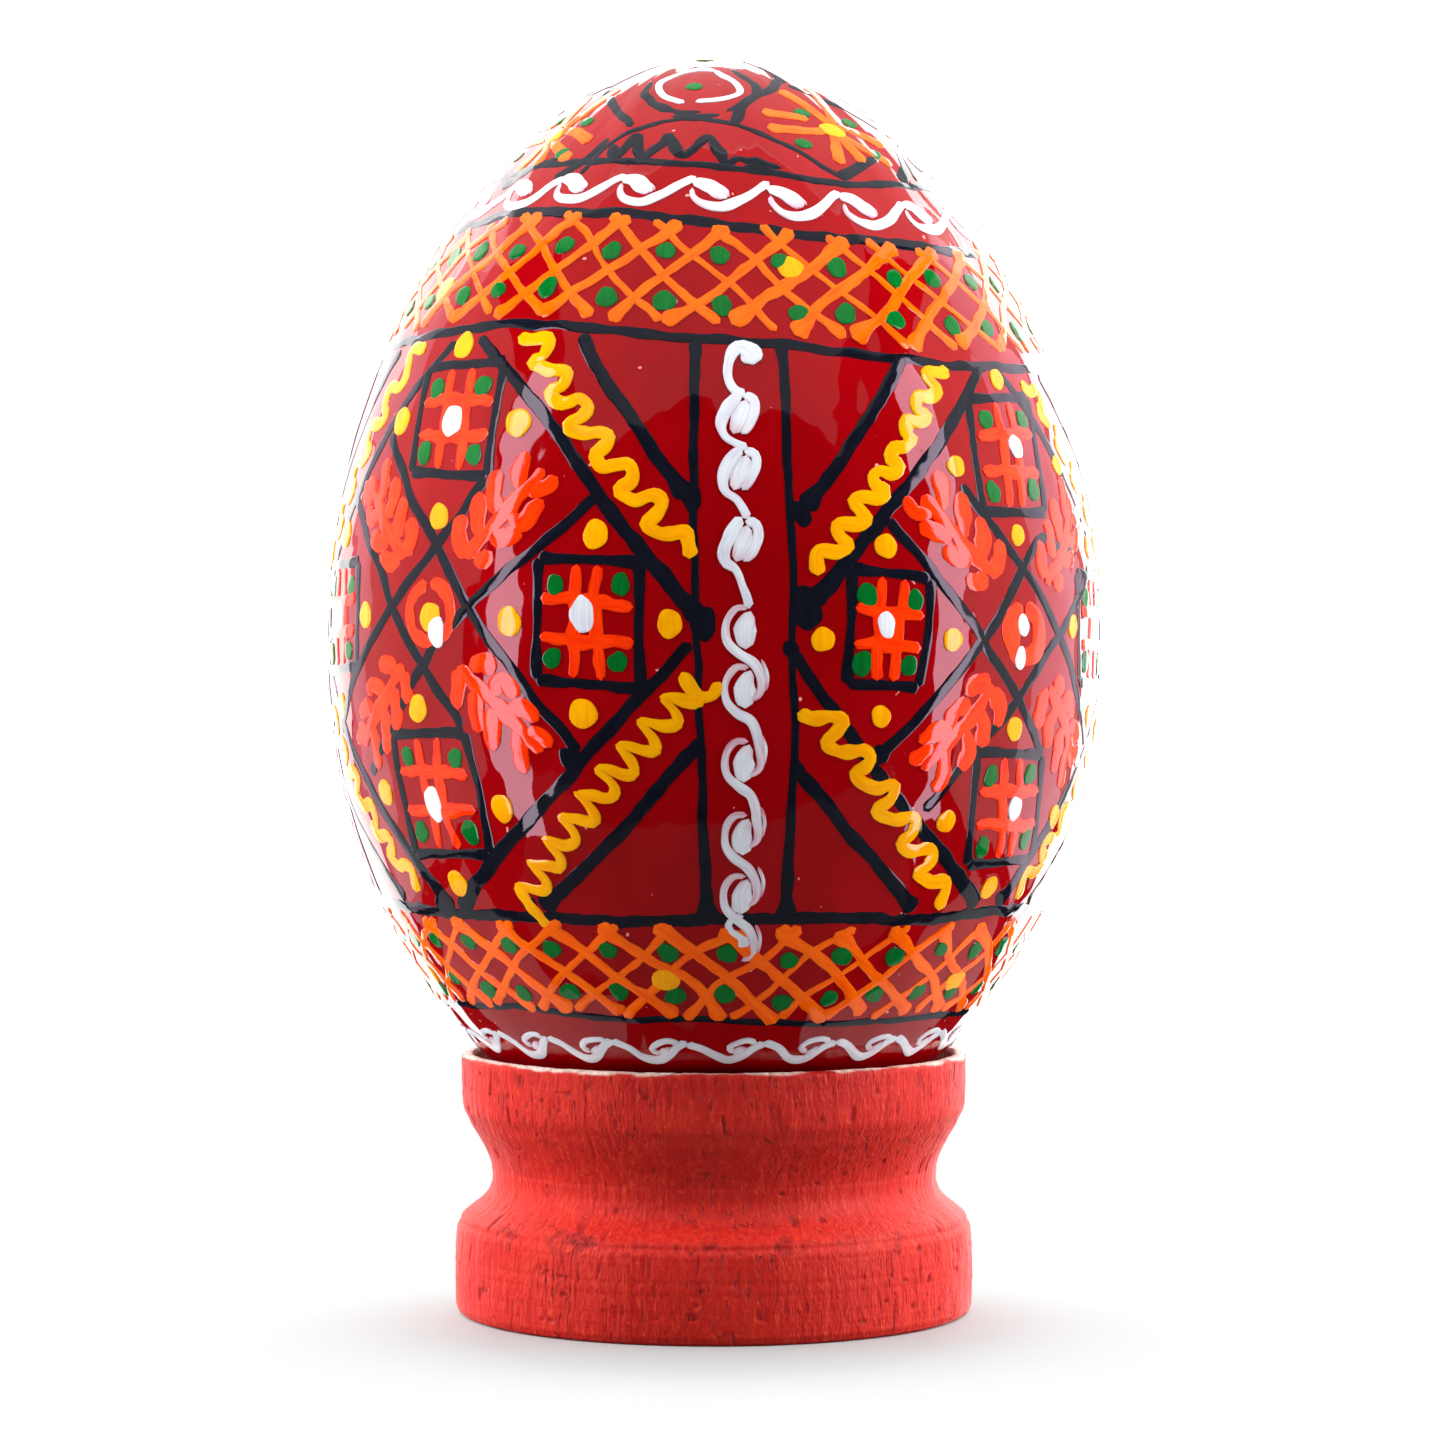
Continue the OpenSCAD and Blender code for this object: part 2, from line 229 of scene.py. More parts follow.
def beside(lon, z, reach):
    """The places reach mm to the right of each point of a path on the egg."""
    per_deg, lean = mm_per_degree(z), np.cos(rise(z))
    east, up = np.gradient(lon) * per_deg, np.gradient(z) / lean
    norm = np.hypot(east, up) + 1e-9
    side_east, side_up = up / norm, -east / norm
    return (lon[:, None] + reach * side_east[:, None] / per_deg[:, None],
            z[:, None] + reach * side_up[:, None] * lean[:, None])


class Coat:
    """All the strokes and dabs of one colour and kind, lift mm above the ground, gathered into one mesh."""

    def __init__(self, name, seed, lift):
        self.name, self.lift = name, lift
        self.rng = np.random.default_rng(seed)
        self.verts, self.normals, self.brush, self.thin, self.faces = [], [], [], [], []
        self.count = 0

    def add(self, verts, normals, brush, thin, faces):
        self.verts.append(verts.reshape(-1, 3))
        self.normals.append(normals.reshape(-1, 3))
        self.brush.append(brush.reshape(-1, 3))
        self.thin.append(thin.ravel())
        self.faces += [[i + self.count for i in f] for f in faces]
        self.count += verts.reshape(-1, 3).shape[0]

    def stroke(self, points, width, height=0.085, swell=(0, 0), thin=(0, 0), uneven=0.09, drift=0.06,
               belly=(1, 1)):
        """A brush stroke along places on the egg, width wide and height proud, in mm.

        swell widens its start and end, and thin fades them. uneven roughens its edges, drift lets it
        wander, and belly holds width factors at even steps along it.
        """
        s, lon, z = paced(points)
        wander = drift * smooth_noise(self.rng, s, 4, 14)
        body = half_width(s, width, swell, belly)
        left, right = [body * (1 + uneven * smooth_noise(self.rng, s, 1.2, 6)) for _ in (0, 1)]
        reach = np.where(ACROSS < 0, left[:, None], right[:, None]) * ACROSS + wander[:, None]
        lon_k, z_k = beside(lon, z, reach)
        full = height * np.clip(body / (width / 2), 0.3, 1.25)[:, None]
        top, top_n = on_egg(lon_k, z_k, self.lift + full * DOME)
        foot, foot_n = on_egg(lon_k[:, [-1, 0]], z_k[:, [-1, 0]], np.full((len(s), 2), SUNK))
        brush = np.stack([np.pad(reach, ((0, 0), (0, 2))), np.repeat(s[:, None], SECTION, 1),
                          np.full((len(s), SECTION), self.rng.uniform(0, BRISTLE_RANGE))], -1)
        first = list(range(SECTION))
        caps = [first[::-1], [(len(s) - 1) * SECTION + j for j in first]]
        self.add(np.concatenate([top, foot], 1), np.concatenate([top_n, foot_n], 1), brush, thinness(s, thin),
                 ring_faces(len(s), SECTION) + caps)

    def dab(self, lon, z, size, height=0.1, squash=1.0, turn=0.0, uneven=0.05):
        """A round dab of paint, size mm across, squashed and turned a little."""
        rng = self.rng
        t = np.arange(SPOKES) * TURN / SPOKES
        edge = 1 + uneven * sum(share * np.sin(lobes * t + rng.uniform(0, 6)) for lobes, share in DAB_LOBES)
        x = DAB_RINGS[:, None] * edge * np.cos(t) * size / 2
        y = DAB_RINGS[:, None] * edge * np.sin(t) * size / 2 * squash
        c, s = math.cos(turn), math.sin(turn)
        x, y = x * c - y * s, x * s + y * c
        x, y = np.append(np.vstack([x, x[-1:]]), 0), np.append(np.vstack([y, y[-1:]]), 0)
        h = np.append(self.lift + height * (1 - DAB_RINGS**2) ** 0.5, SUNK)
        h = np.append(np.repeat(h, SPOKES), self.lift + height)
        verts, normals = on_egg(lon + x / mm_per_degree(z), z + y * np.cos(rise(z)), h)
        centre, round_it = 5 * SPOKES, range(SPOKES)
        faces = [[a, d, c, b] for a, b, c, d in ring_faces(5, SPOKES)]
        faces += [[centre, j, (j + 1) % SPOKES] for j in round_it]
        faces += [[4 * SPOKES + j for j in round_it][::-1]]
        thin = np.append(np.repeat(DAB_THIN, SPOKES), 0)
        bristle = np.full_like(x, rng.uniform(0, BRISTLE_RANGE))
        self.add(verts, normals, np.stack([x, y, bristle], -1), thin, faces)

    def finish(self, paint, *nodes):
        """Makes the mesh in a paint, which is a material and its slot, in place of the CAD nodes named. The
        slot is not used.
        """
        material, slot = paint
        verts, even = np.vstack(self.verts), np.vstack(self.normals)
        piece = new_piece(self.name, verts.tolist(), self.faces, material, "egg")
        add_attribute(piece, "brush", "FLOAT_VECTOR", np.vstack(self.brush))
        add_attribute(piece, "thin", "FLOAT", np.concatenate(self.thin))
        own = np.empty(len(verts) * 3, dtype=np.float32)
        piece.data.vertex_normals.foreach_get("vector", own)
        mixed = even * VARNISH_LEVEL + own.reshape(-1, 3) * (1 - VARNISH_LEVEL)
        mixed /= np.linalg.norm(mixed, axis=1, keepdims=True)
        piece.data.normals_split_custom_set_from_vertices(mixed.tolist())
        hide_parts(*nodes)
        return piece


# ---- materials
def srgb(r, g, b):
    """A colour given as 0-255 display values, as linear light."""
    return tuple(((c / 255 + 0.055) / 1.055) ** 2.4 if c > 10 else c / 255 / 12.92 for c in (r, g, b)) + (1,)


class Nodes:
    """Small helper to write a material's node tree."""

    def __init__(self, name):
        self.material = bpy.data.materials.new(name)
        self.material.use_nodes = True
        self.tree = self.material.node_tree
        self.shader = self.tree.nodes["Principled BSDF"]

    def add(self, kind, inputs=None, **settings):
        node = self.tree.nodes.new("ShaderNode" + kind)
        for key, value in settings.items():
            setattr(node, key, value)
        for key, value in (inputs or {}).items():
            self.put(node.inputs[key], value)
        return node

    def put(self, socket, value):
        if isinstance(value, bpy.types.NodeSocket):
            self.tree.links.new(value, socket)
        else:
            socket.default_value = value

    def set(self, **inputs):
        for key, value in inputs.items():
            self.put(self.shader.inputs[key.replace("_", " ")], value)

    def mix(self, factor, a, b, blend="MIX"):
        node = self.add("Mix", data_type="RGBA", blend_type=blend)
        self.put(node.inputs[0], factor)
        self.put(node.inputs[6], a)
        self.put(node.inputs[7], b)
        return node.outputs[2]

    def ramp(self, value, low, high, to_low=0.0, to_high=1.0):
        node = self.add("MapRange", {"Value": value, "From Min": low, "From Max": high, "To Min": to_low,
                                     "To Max": to_high}, clamp=True)
        return node.outputs[0]

    def noise(self, vector, scale, detail=3.0, roughness=0.55):
        return self.add("TexNoise", {"Vector": vector, "Scale": scale, "Detail": detail,
                                     "Roughness": roughness}).outputs[0]

    def stretch(self, vector, scale):
        node = self.add("VectorMath", {0: vector, 1: scale}, operation="MULTIPLY")
        return node.outputs[0]

    def math(self, operation, a, b):
        return self.add("Math", {0: a, 1: b}, operation=operation).outputs[0]

    def times(self, a, b):
        return self.math("MULTIPLY", a, b)

    def plus(self, a, b):
        return self.math("ADD", a, b)

    def bump(self, height, distance, strength):
        return self.add("Bump", {"Height": height, "Distance": distance, "Strength": strength}).outputs[0]

    def attribute(self, name, output="Fac"):
        return self.add("Attribute", attribute_name=name).outputs[output]

    def place(self):
        return self.add("TexCoord").outputs["Object"]


GROUND_DARK = srgb(138, 0, 4)
GROUND = srgb(150, 0, 8)


def varnish(n, bump_source=None, bump=0.0):
    """The clear gloss coat that every painted surface shares, with fine dust and orange peel."""
    place = n.place()
    peel = n.noise(place, 420, 2)
    dust = n.ramp(n.noise(place, 2600, 1), 0.76, 0.78)
    relief = n.plus(n.times(peel, 0.5), n.times(dust, 0.5))
    if bump_source is not None:
        relief = n.plus(relief, n.times(bump_source, bump))
    normal = n.bump(relief, 0.03 * MM, 0.25)
    n.set(Normal=normal, Coat_Normal=normal, Coat_Weight=1.0, Coat_Roughness=0.025, Coat_IOR=1.5)
    n.set(Roughness=0.5, Specular_IOR_Level=0.0)


def enamel(name, colour, streak, thin_colour, streaks):
    """Brush enamel: bristle streaks along the stroke, patches of tone, and the ground where it is thin."""
    n = Nodes(name)
    brush = n.attribute("brush", "Vector")
    thin = n.attribute("thin")
    bristle = n.noise(n.stretch(brush, (5.5, 0.45, 1)), 1, 3)
    patch = n.noise(n.stretch(brush, (0.8, 0.5, 1)), 1, 2)
    tone = n.plus(n.times(n.ramp(bristle, 0.4, 0.68), streaks), n.times(n.ramp(patch, 0.4, 0.7), 0.35))
    colour = n.mix(tone, colour, streak)
    broken = n.plus(thin, n.times(n.ramp(bristle, 0.45, 0.7), n.times(thin, 0.8)))
    n.set(Base_Color=n.mix(n.ramp(broken, 0.1, 1.1), colour, thin_colour))
    varnish(n, bristle, 0.4)
    return n.material, name


def ground_coat():
    """Deep red ground with slight mottling and a few specks under the varnish."""
    n = Nodes("red_ground")
    place = n.place()
    cloud = n.ramp(n.noise(place, 90, 3), 0.35, 0.7)
    brushed = n.ramp(n.noise(n.stretch(place, (700, 700, 60)), 1, 2), 0.35, 0.75)
    colour = n.mix(cloud, GROUND_DARK, GROUND)
    colour = n.mix(n.times(brushed, 0.25), colour, srgb(162, 0, 12))
    speck = n.ramp(n.noise(place, 1700, 0), 0.875, 0.885)
    n.set(Base_Color=n.mix(speck, colour, srgb(225, 150, 140)))
    varnish(n)
    return n.material


BLACK = enamel("black_enamel", srgb(11, 13, 23), srgb(22, 24, 36), srgb(40, 6, 14), 0.6)
ORANGE = enamel("orange_enamel", srgb(250, 106, 4), srgb(240, 76, 4), srgb(205, 40, 8), 0.6)
VERMILION = enamel("vermilion_enamel", srgb(250, 62, 4), srgb(236, 38, 4), srgb(200, 12, 10), 0.7)
YELLOW = enamel("yellow_enamel", srgb(246, 172, 2), srgb(236, 142, 4), srgb(222, 100, 6), 0.6)
GREEN = enamel("green_enamel", srgb(2, 108, 38), srgb(4, 88, 30), srgb(20, 60, 20), 0.8)
WHITE = enamel("white_enamel", srgb(224, 230, 236), srgb(206, 204, 220), srgb(204, 128, 148), 0.8)
GROUND_MATERIAL = ground_coat()


# ---- the egg's ground
def egg_mesh(name, inset, lon_steps, z_steps, material):
    """The egg's whole surface, inset mm inside the painted one."""
    t = np.linspace(0, math.pi, z_steps + 1)[1:-1]
    lon = np.arange(lon_steps) * 360 / lon_steps
    z = EGG_MID - EGG_HALF * np.cos(t)
    grid_lon, grid_z = np.meshgrid(lon, z)
    verts = on_egg(grid_lon, grid_z, -inset)[0].reshape(-1, 3)
    poles = np.array([[0, 0, EGG_BOTTOM + inset], [0, 0, EGG_TOP - inset]]) * MM
    verts = np.vstack([verts, poles])
    rows = len(z)
    faces = ring_faces(rows, lon_steps)
    south, north = rows * lon_steps, rows * lon_steps + 1
    top = (rows - 1) * lon_steps
    faces += [[south, (c + 1) % lon_steps, c] for c in range(lon_steps)]
    faces += [[north, top + c, top + (c + 1) % lon_steps] for c in range(lon_steps)]
    return new_piece(name, verts.tolist(), faces, material, "egg")


ground = egg_mesh("egg_ground_coat", 0, 416, 238, GROUND_MATERIAL)
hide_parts("red_ground")

# ---- layout of the ornament
COLUMN = 4.0          # longitude of the front scroll column
COLUMN_HALF = 6.6
CROWN_Z, SECOND_Z, UPPER_Z, LOWER_Z, BOTTOM_Z = 86.2, 82.2, 73.3, 31.7, 23.9
CROWN_COUNT = 4
CROWN_TURN = 360 / CROWN_COUNT


def turned(points, by):
    """The same places, by degrees further to the right."""
    return [(lon + by, z) for lon, z in points]


def jitter(rng, points, lon, z):
    """The same places, each off by a random amount of about lon degrees and z mm."""
    return [(a + rng.normal(0, lon), b + rng.normal(0, z)) for a, b in points]


def tilt(lon, size):
    """The hand-drawn rings lean: they rise to the left of each column and fall to its right."""
    return -size * np.sin(np.radians(2 * lon))


RING_START = 176  # the longitude behind the egg where the painter's lines round it start and end


def ring_line(z, size, waver=0.1, steps=90):
    """A hand-drawn line round the egg, at height z, leaning by size and wavering a little."""
    rng = np.random.default_rng(int(z * 10))
    lon = np.linspace(0, 360, steps + 1) + RING_START
    turns = np.radians(lon)
    line = z + tilt(lon, size) + sum(waver * np.sin(k * turns + rng.uniform(0, 6)) for k in (3, 5, 8))
    return list(zip(lon, line))


# The two panels in view, as the painter drew them. blobs are (longitude, height, size), stairs and scallops
# [top, foot, waves], and ring is (half width in degrees, half height, line width).
LEFT = {
    "centre": (-43.5, 53.9),
    "white_size": 2,
    "yellow_size": 1.95,
    "ring": (4.2, 2.2, 1),
    "diamond": [[(-42, 74.2), (-33, 71), (-24, 67), (-12, 59.5), (-1.5, 53.2)],
        [(-48, 74), (-57, 69.5), (-67, 63), (-77, 56.5), (-82, 53.5)],
        [(-3, 51.6), (-16.5, 44.4), (-22.6, 41.3), (-32.7, 37), (-46, 32)],
        [(-81, 53), (-72, 46.5), (-62, 40.2), (-54, 35.4), (-47.5, 32)]],
    "corners": [[(-22, 74), (-13, 68.2), (-3.4, 62)],
        [(-66, 73.8), (-74, 68), (-80, 62.5)],
        [(-1.4, 44.7), (-17, 36.5), (-28.5, 32.4)],
        [(-81.5, 43), (-72, 37), (-62, 32.5)]],
    "crosses": [[(-16.5, 62.1), (-25, 58.6), (-36.3, 54.3), (-45.3, 50), (-53, 45.5), (-62, 42)],
        [(-34.4, 63.6), (-42, 59.3), (-52, 54.4), (-64.8, 48.6), (-72, 45)],
        [(-59, 67.3), (-43.6, 59.2), (-36.6, 54.5), (-30, 50.4), (-19, 43.8)],
        [(-69, 63.5), (-56.7, 57.6), (-52, 54.4), (-45.3, 50.2), (-38, 45.5)]],
    "squares": [[(-52.7, 72.1), (-34.9, 72.2), (-34.4, 63.7), (-50.8, 64.3)],
        [(-25, 57.8), (-10.2, 57.4), (-9.9, 48.4), (-25.2, 49)],
        [(-53.2, 45), (-37.6, 45.2), (-35.9, 36.3), (-53.6, 36.1)],
        [(-77, 57.6), (-63, 57.8), (-62.5, 50), (-77.5, 49.6)]],
    "blobs": [(-1.3, 53, 1.9), (-3.1, 62, 1.6), (-20.5, 43.4, 1.5), (-50.5, 32.3, 1.6),
              (-30.5, 32.6, 1.3)],
    "yellow": [(-45.3, 73.6), (-30.4, 67.6), (-56.6, 68.2), (-42.9, 60.9), (-16.5, 59.4), (-5.9, 53),
        (-18.2, 46.6), (-29.2, 53.2), (-46.4, 46.9), (-32.4, 39.7), (-44.6, 34), (-58.1, 40.6),
        (-59.5, 53.8), (-70, 60), (-70.5, 47), (-43.3, 53.6)],
    "white": [(-43.4, 67.9), (-18.1, 53.7), (-45.9, 39.9), (-70, 53.8), (-41.9, 52.5)],
    "stairs": [[(-33.5, 74), (-3.2, 57.4), 7], [(-56, 73.8), (-79, 57.6), 6], [(-81, 46.6), (-57, 33), 6]],
    "scallops": [[(-4.2, 49.6), (-32.5, 34.2), 9]],
    "tails": [[(0.9, 48.9), (-0.3, 47.9), (-2.4, 48), (-4.2, 49.6)],
              [(-32.5, 34.2), (-30, 32.2), (-28.2, 31)]],
}
RIGHT = {
    "centre": (49.4, 52.4),
    "white_size": 1.5,
    "yellow_size": 1.6,
    "ring": (3.3, 1.95, 1.55),
    "diamond": [[(48.6, 72.4), (36.5, 66.7), (24.1, 60.5), (13.6, 54.4)],
        [(52, 72.2), (64, 65.8), (76, 58.6), (86, 52.8)],
        [(10.8, 51), (21.5, 43.7), (31.7, 38.5), (48.3, 32.2)],
        [(86, 52), (75, 44.6), (63.7, 38.2), (54, 32.2)]],
    "corners": [[(31.6, 72.6), (22, 66.8), (12.8, 61.2)],
        [(68, 72), (77, 66.5), (85, 61)],
        [(12.3, 42.4), (22, 37.2), (34.2, 32.2)],
        [(85, 43), (75, 36.8), (66, 32)]],
    "crosses": [[(25.2, 60.5), (31.3, 57.2), (40.6, 51.9), (48.3, 47.7), (56.3, 43.3)],
        [(38.1, 63.1), (49.7, 57.1), (58.4, 52.5), (64.5, 48.7), (73, 44)],
        [(73, 61), (63, 58.6), (55.7, 59.6), (49.7, 57.1), (40.6, 51.9), (32.5, 47.6), (24.2, 43.7)],
        [(72, 57.5), (58.1, 52.1), (48.3, 47.6), (32.1, 39.6)]],
    "squares": [[(19.5, 57), (31.6, 56.3), (29.6, 48.5), (18.6, 48.7)],
        [(43, 69.6), (59.5, 70.1), (57.3, 61.4), (42, 61.2)],
        [(40.9, 43.8), (56.3, 43.4), (60.4, 35.6), (43, 35.4)],
        [(66, 57), (80, 56.6), (79.5, 48.6), (66.5, 48.8)]],
    "blobs": [(12.8, 54.1, 2.4), (12.2, 60.9, 1.6), (24.2, 43.7, 1.3), (12, 42.6, 1.1), (10.6, 51.2, 1.1)],
    "yellow": [(24.6, 58.6), (15.1, 51.9), (35.1, 51.9), (23.8, 46.4), (51.5, 71.2), (37.8, 64.5),
        (64.4, 65.1), (49, 59.6), (48.2, 45.4), (36.8, 38.7), (64.5, 38.7), (50.1, 33.6), (63, 53),
        (83, 52.6), (73, 59), (73, 46.2)],
    "white": [(24.3, 53), (52, 66.2), (51.3, 39.5), (73, 52.8), (48.3, 50.6), (48.9, 53)],
    "stairs": [[(40, 71.6), (14.2, 56.5), 8], [(59, 71), (85, 56.4), 6], [(11.6, 46.6), (39.5, 32), 6],
        [(86, 46.4), (60, 32.6), 6]],
    "scallops": [],
    "tails": [],
}
PANELS = [(LEFT, 0), (RIGHT, 0), (LEFT, 180), (RIGHT, 180)]  # the panels behind repeat the two in view


def across_square(square, u, v):
    """The place at shares u across and v down a square given by its four corners."""
    (a, b, c, d) = [np.array(p) for p in square]
    return tuple((a * (1 - u) + b * u) * (1 - v) + (d * (1 - u) + c * u) * v)


# ---- black lines
bands = Coat("band_line_paint", 21, 0)
for z, size, width in ((CROWN_Z + 0.5, 0.8, 0.72), (SECOND_Z + 0.1, 1.25, 0.95), (UPPER_Z + 0.2, 1.35, 0.8),
                       (LOWER_Z, 0.1, 0.95), (BOTTOM_Z + 0.2, 0.35, 0.62)):
    bands.stroke(ring_line(z, size), width, uneven=0.15, thin=(0.1, 0.1))
bands.finish(BLACK, "band_lines")

columns = Coat("column_line_paint", 22, 0.01)
for k in range(4):
    for side, lean in ((-1, 1.6), (1, 0.8)):
        lon = COLUMN + side * COLUMN_HALF + k * QUARTER
        path = [(lon, UPPER_Z + 0.2), (lon, 64), (lon, 54), (lon + lean * 0.5, 43),
                (lon + lean, LOWER_Z - 0.2)]
        columns.stroke(jitter(columns.rng, path, 0.15, 0.1), 0.68, swell=(0.45, 1.1),
                       belly=[1.15, 0.95, 0.8, 0.9, 1.5])
columns.finish(BLACK, "column_lines")

diamonds = Coat("diamond_line_paint", 23, 0.015)
corner_paint = Coat("corner_line_paint", 24, 0.015)
crosses = Coat("cross_line_paint", 25, 0.02)
square_paint = Coat("square_line_paint", 26, 0.02)
for panel, turn in PANELS:
    for line in panel["diamond"]:
        diamonds.stroke(turned(line, turn), 0.98, swell=(0.1, 0.5), belly=[0.8, 1, 1, 1.15, 1.3])
    for lon, z, size in panel["blobs"]:
        diamonds.dab(lon + turn, z, size, 0.07, squash=1.25, turn=0.3, uneven=0.1)
    for line in panel["corners"]:
        corner_paint.stroke(turned(line, turn), 0.98, swell=(0, 0.5), belly=[1.1, 1, 1, 1, 1.25])
    for line in panel["crosses"]:
        crosses.stroke(turned(line, turn), 0.84, swell=(0.1, 0.1), drift=0.08)
    for square in panel["squares"]:
        for a, b in zip(square, square[1:] + square[:1]):
            mid = ((a[0] + b[0]) / 2 + square_paint.rng.normal(0, 0.25), (a[1] + b[1]) / 2)
            square_paint.stroke(turned([a, mid, b], turn), 0.8, drift=0.03, belly=[1.3, 0.85, 0.9, 1.25])
diamonds.finish(BLACK, "diamond_lines")
corner_paint.finish(BLACK, "corner_lines")
crosses.finish(BLACK, "cross_lines")
square_paint.finish(BLACK, "square_lines")

crown = Coat("crown_line_paint", 27, 0)
ARCH = [(-33, 0.3), (-29, 2.4), (-20, 4.1), (-8, 4.5), (5, 4.1), (18, 2.6), (32, -0.2)]
TEETH = [(-27, 2.6), (-25, 1.2), (-21, 3.5), (-18, 1), (-12, 3.4), (-8, 1.2), (-1, 3.2), (3, 0.6)]
V_LINES = [[(30, 0), (39, 1.2), (47, 1.9)], [(50, 0), (56, 1.5), (60, 3.2)]]
SMUDGE = [[(3, 0.6), (6, 1.2), (10, 0.9), (16, 0.4)], [(7, 0.6), (11, 0.3), (15, 0.2)]]
HALO = [[(-30, 94.3), (-24, 92.6), (-12, 91.4), (-4, 91.3)], [(10, 95.4), (17, 93.9), (15, 92.6), (4, 91.4)],
        [(-13, 91), (-5, 90.9), (2, 91.1)]]
TO_POLE = [(33.5, 94.2), (35, 95.4), (33, 96.2), (34, 96.8)]


def over_ring(path):
    """Places given by their height over the crown's ring, as places on the egg."""
    return [(lon, CROWN_Z + z) for lon, z in path]


for k in range(CROWN_COUNT):
    by = k * CROWN_TURN
    crown.stroke(turned(over_ring(ARCH), by), 0.5, uneven=0.22)
    teeth = over_ring(TEETH)
    if k:
        teeth = jitter(crown.rng, teeth, 0.6, 0.15)
    for a, b in zip(teeth, teeth[1:]):
        crown.stroke(turned([a, b], by), 0.82, uneven=0.22, drift=0.03, belly=[0.6, 1, 1.15, 0.8])
    for path in V_LINES:
        crown.stroke(turned(over_ring(path), by), 0.9, uneven=0.2, belly=[1.3, 0.9, 0.7])
    for path in SMUDGE:
        crown.stroke(turned(over_ring(path), by), 0.9, uneven=0.35, belly=[0.6, 1.1, 0.5])
    crown.stroke(turned([(5, 90.2), (13, 92.4), (33, 94.6)], by), 0.85, uneven=0.2, belly=[1.2, 0.9, 1.1])
    crown.stroke(turned([(-24, 90.2), (-38, 92.4), (-56, 94)], by), 0.7, uneven=0.2)
    for path in HALO:
        crown.stroke(turned(path, by), 0.7, uneven=0.35, belly=[0.5, 1.1, 1.2, 0.5])
    crown.stroke(turned(TO_POLE, by), 0.75, uneven=0.15, drift=0.0)
crown.finish(BLACK, "crown_lines")

# ---- orange lattices and crosses
UPPER_BAND = {"low": 74.5, "high": 82.2, "count": 34, "lean": 23, "tilt": 1.25}
LOWER_BAND = {"low": 24.3, "high": 31.1, "count": 36, "lean": 21, "tilt": 0.25}


def lattice(name, seed, lift, band, way, first, width, blob):
    """One direction of a band's crossing strokes: way is 1 for those that rise to the right, or -1."""
    coat = Coat(name + "_paint", seed, lift)
    for i in range(band["count"]):
        lon = first + 360 * i / band["count"]
        path = [(lon + way * band["lean"] * t, band["low"] + (band["high"] - band["low"]) * t)
                for t in (0.01, 0.35, 0.7, 1)]
        path = [(a, b + tilt(a, band["tilt"])) for a, b in jitter(coat.rng, path, 0.75, 0.2)]
        coat.stroke(path, width * coat.rng.uniform(0.85, 1.15), 0.09, swell=blob, thin=(0.1, 0.05),
                    uneven=0.16, belly=[1.25, 1, 0.9, 1, 1.2])
    coat.finish(ORANGE, name)


lattice("upper_lattice_falling", 31, 0.03, UPPER_BAND, -1, 1.5, 0.58, (0.25, 0.2))
lattice("upper_lattice_rising", 32, 0.05, UPPER_BAND, 1, 2, 0.88, (0.45, 0.4))
lattice("lower_lattice_rising", 33, 0.03, LOWER_BAND, 1, 3, 0.6, (0.3, 0.2))
lattice("lower_lattice_falling", 34, 0.05, LOWER_BAND, -1, 2, 0.86, (0.35, 0.45))

CROSS_STROKES = [[(15.5, 91.3), (24, 91.2), (30, 91)], [(15.5, 89.9), (25, 89.9), (34, 90)],
                 [(28, 93.5), (33, 92.2), (36.5, 90.6)], [(45, 94), (42, 92.4), (38, 90.6)],
                 [(31.8, 87.3), (34, 88.5), (36, 89.8)], [(40.5, 87.6), (39, 88.6), (37, 89.8)],
                 [(54, 89.2), (46, 90.1), (38, 90.5)], [(51, 87.7), (44, 88.8), (38, 89.8)]]
crown_cross = Coat("crown_cross_paint", 35, 0.04)
for k in range(CROWN_COUNT):
    by = k * CROWN_TURN
    for path in CROSS_STROKES:
        crown_cross.stroke(turned(jitter(crown_cross.rng, path, 0.3, 0.06), by), 0.86, 0.09, swell=(0.15, 0),
                           belly=[1.15, 1.1, 0.85])
crown_cross.finish(ORANGE, "crown_crosses")

# ---- vermilion
SPRIG = [([(6, 3.9), (11.5, 6.6), (18.5, 10.1)], 1.15), ([(6.4, 4.2), (5, 5.4), (5.2, 6.9)], 1.35),
         ([(7.4, 4), (9.6, 3.7), (11.6, 4.3)], 1.3), ([(8.8, 5.4), (7.8, 6.9), (8.4, 8.6)], 1.35),
         ([(10.4, 5.7), (13, 5.2), (15.4, 6)], 1.3), ([(11.8, 6.9), (11, 8.5), (11.8, 10.3)], 1.35),
         ([(13.6, 7.2), (16.2, 6.9), (18.8, 7.9)], 1.25), ([(15, 8.5), (14.6, 10.1), (15.6, 11.6)], 1.2),
         ([(16.4, 8.8), (18.8, 8.8), (21, 9.7)], 1.1)]
uprights = Coat("grid_upright_paint", 41, 0.05)
levels = Coat("grid_level_paint", 42, 0.06)
sprigs = Coat("leaf_sprig_paint", 43, 0.05)
rings = Coat("centre_ring_paint", 44, 0.05)
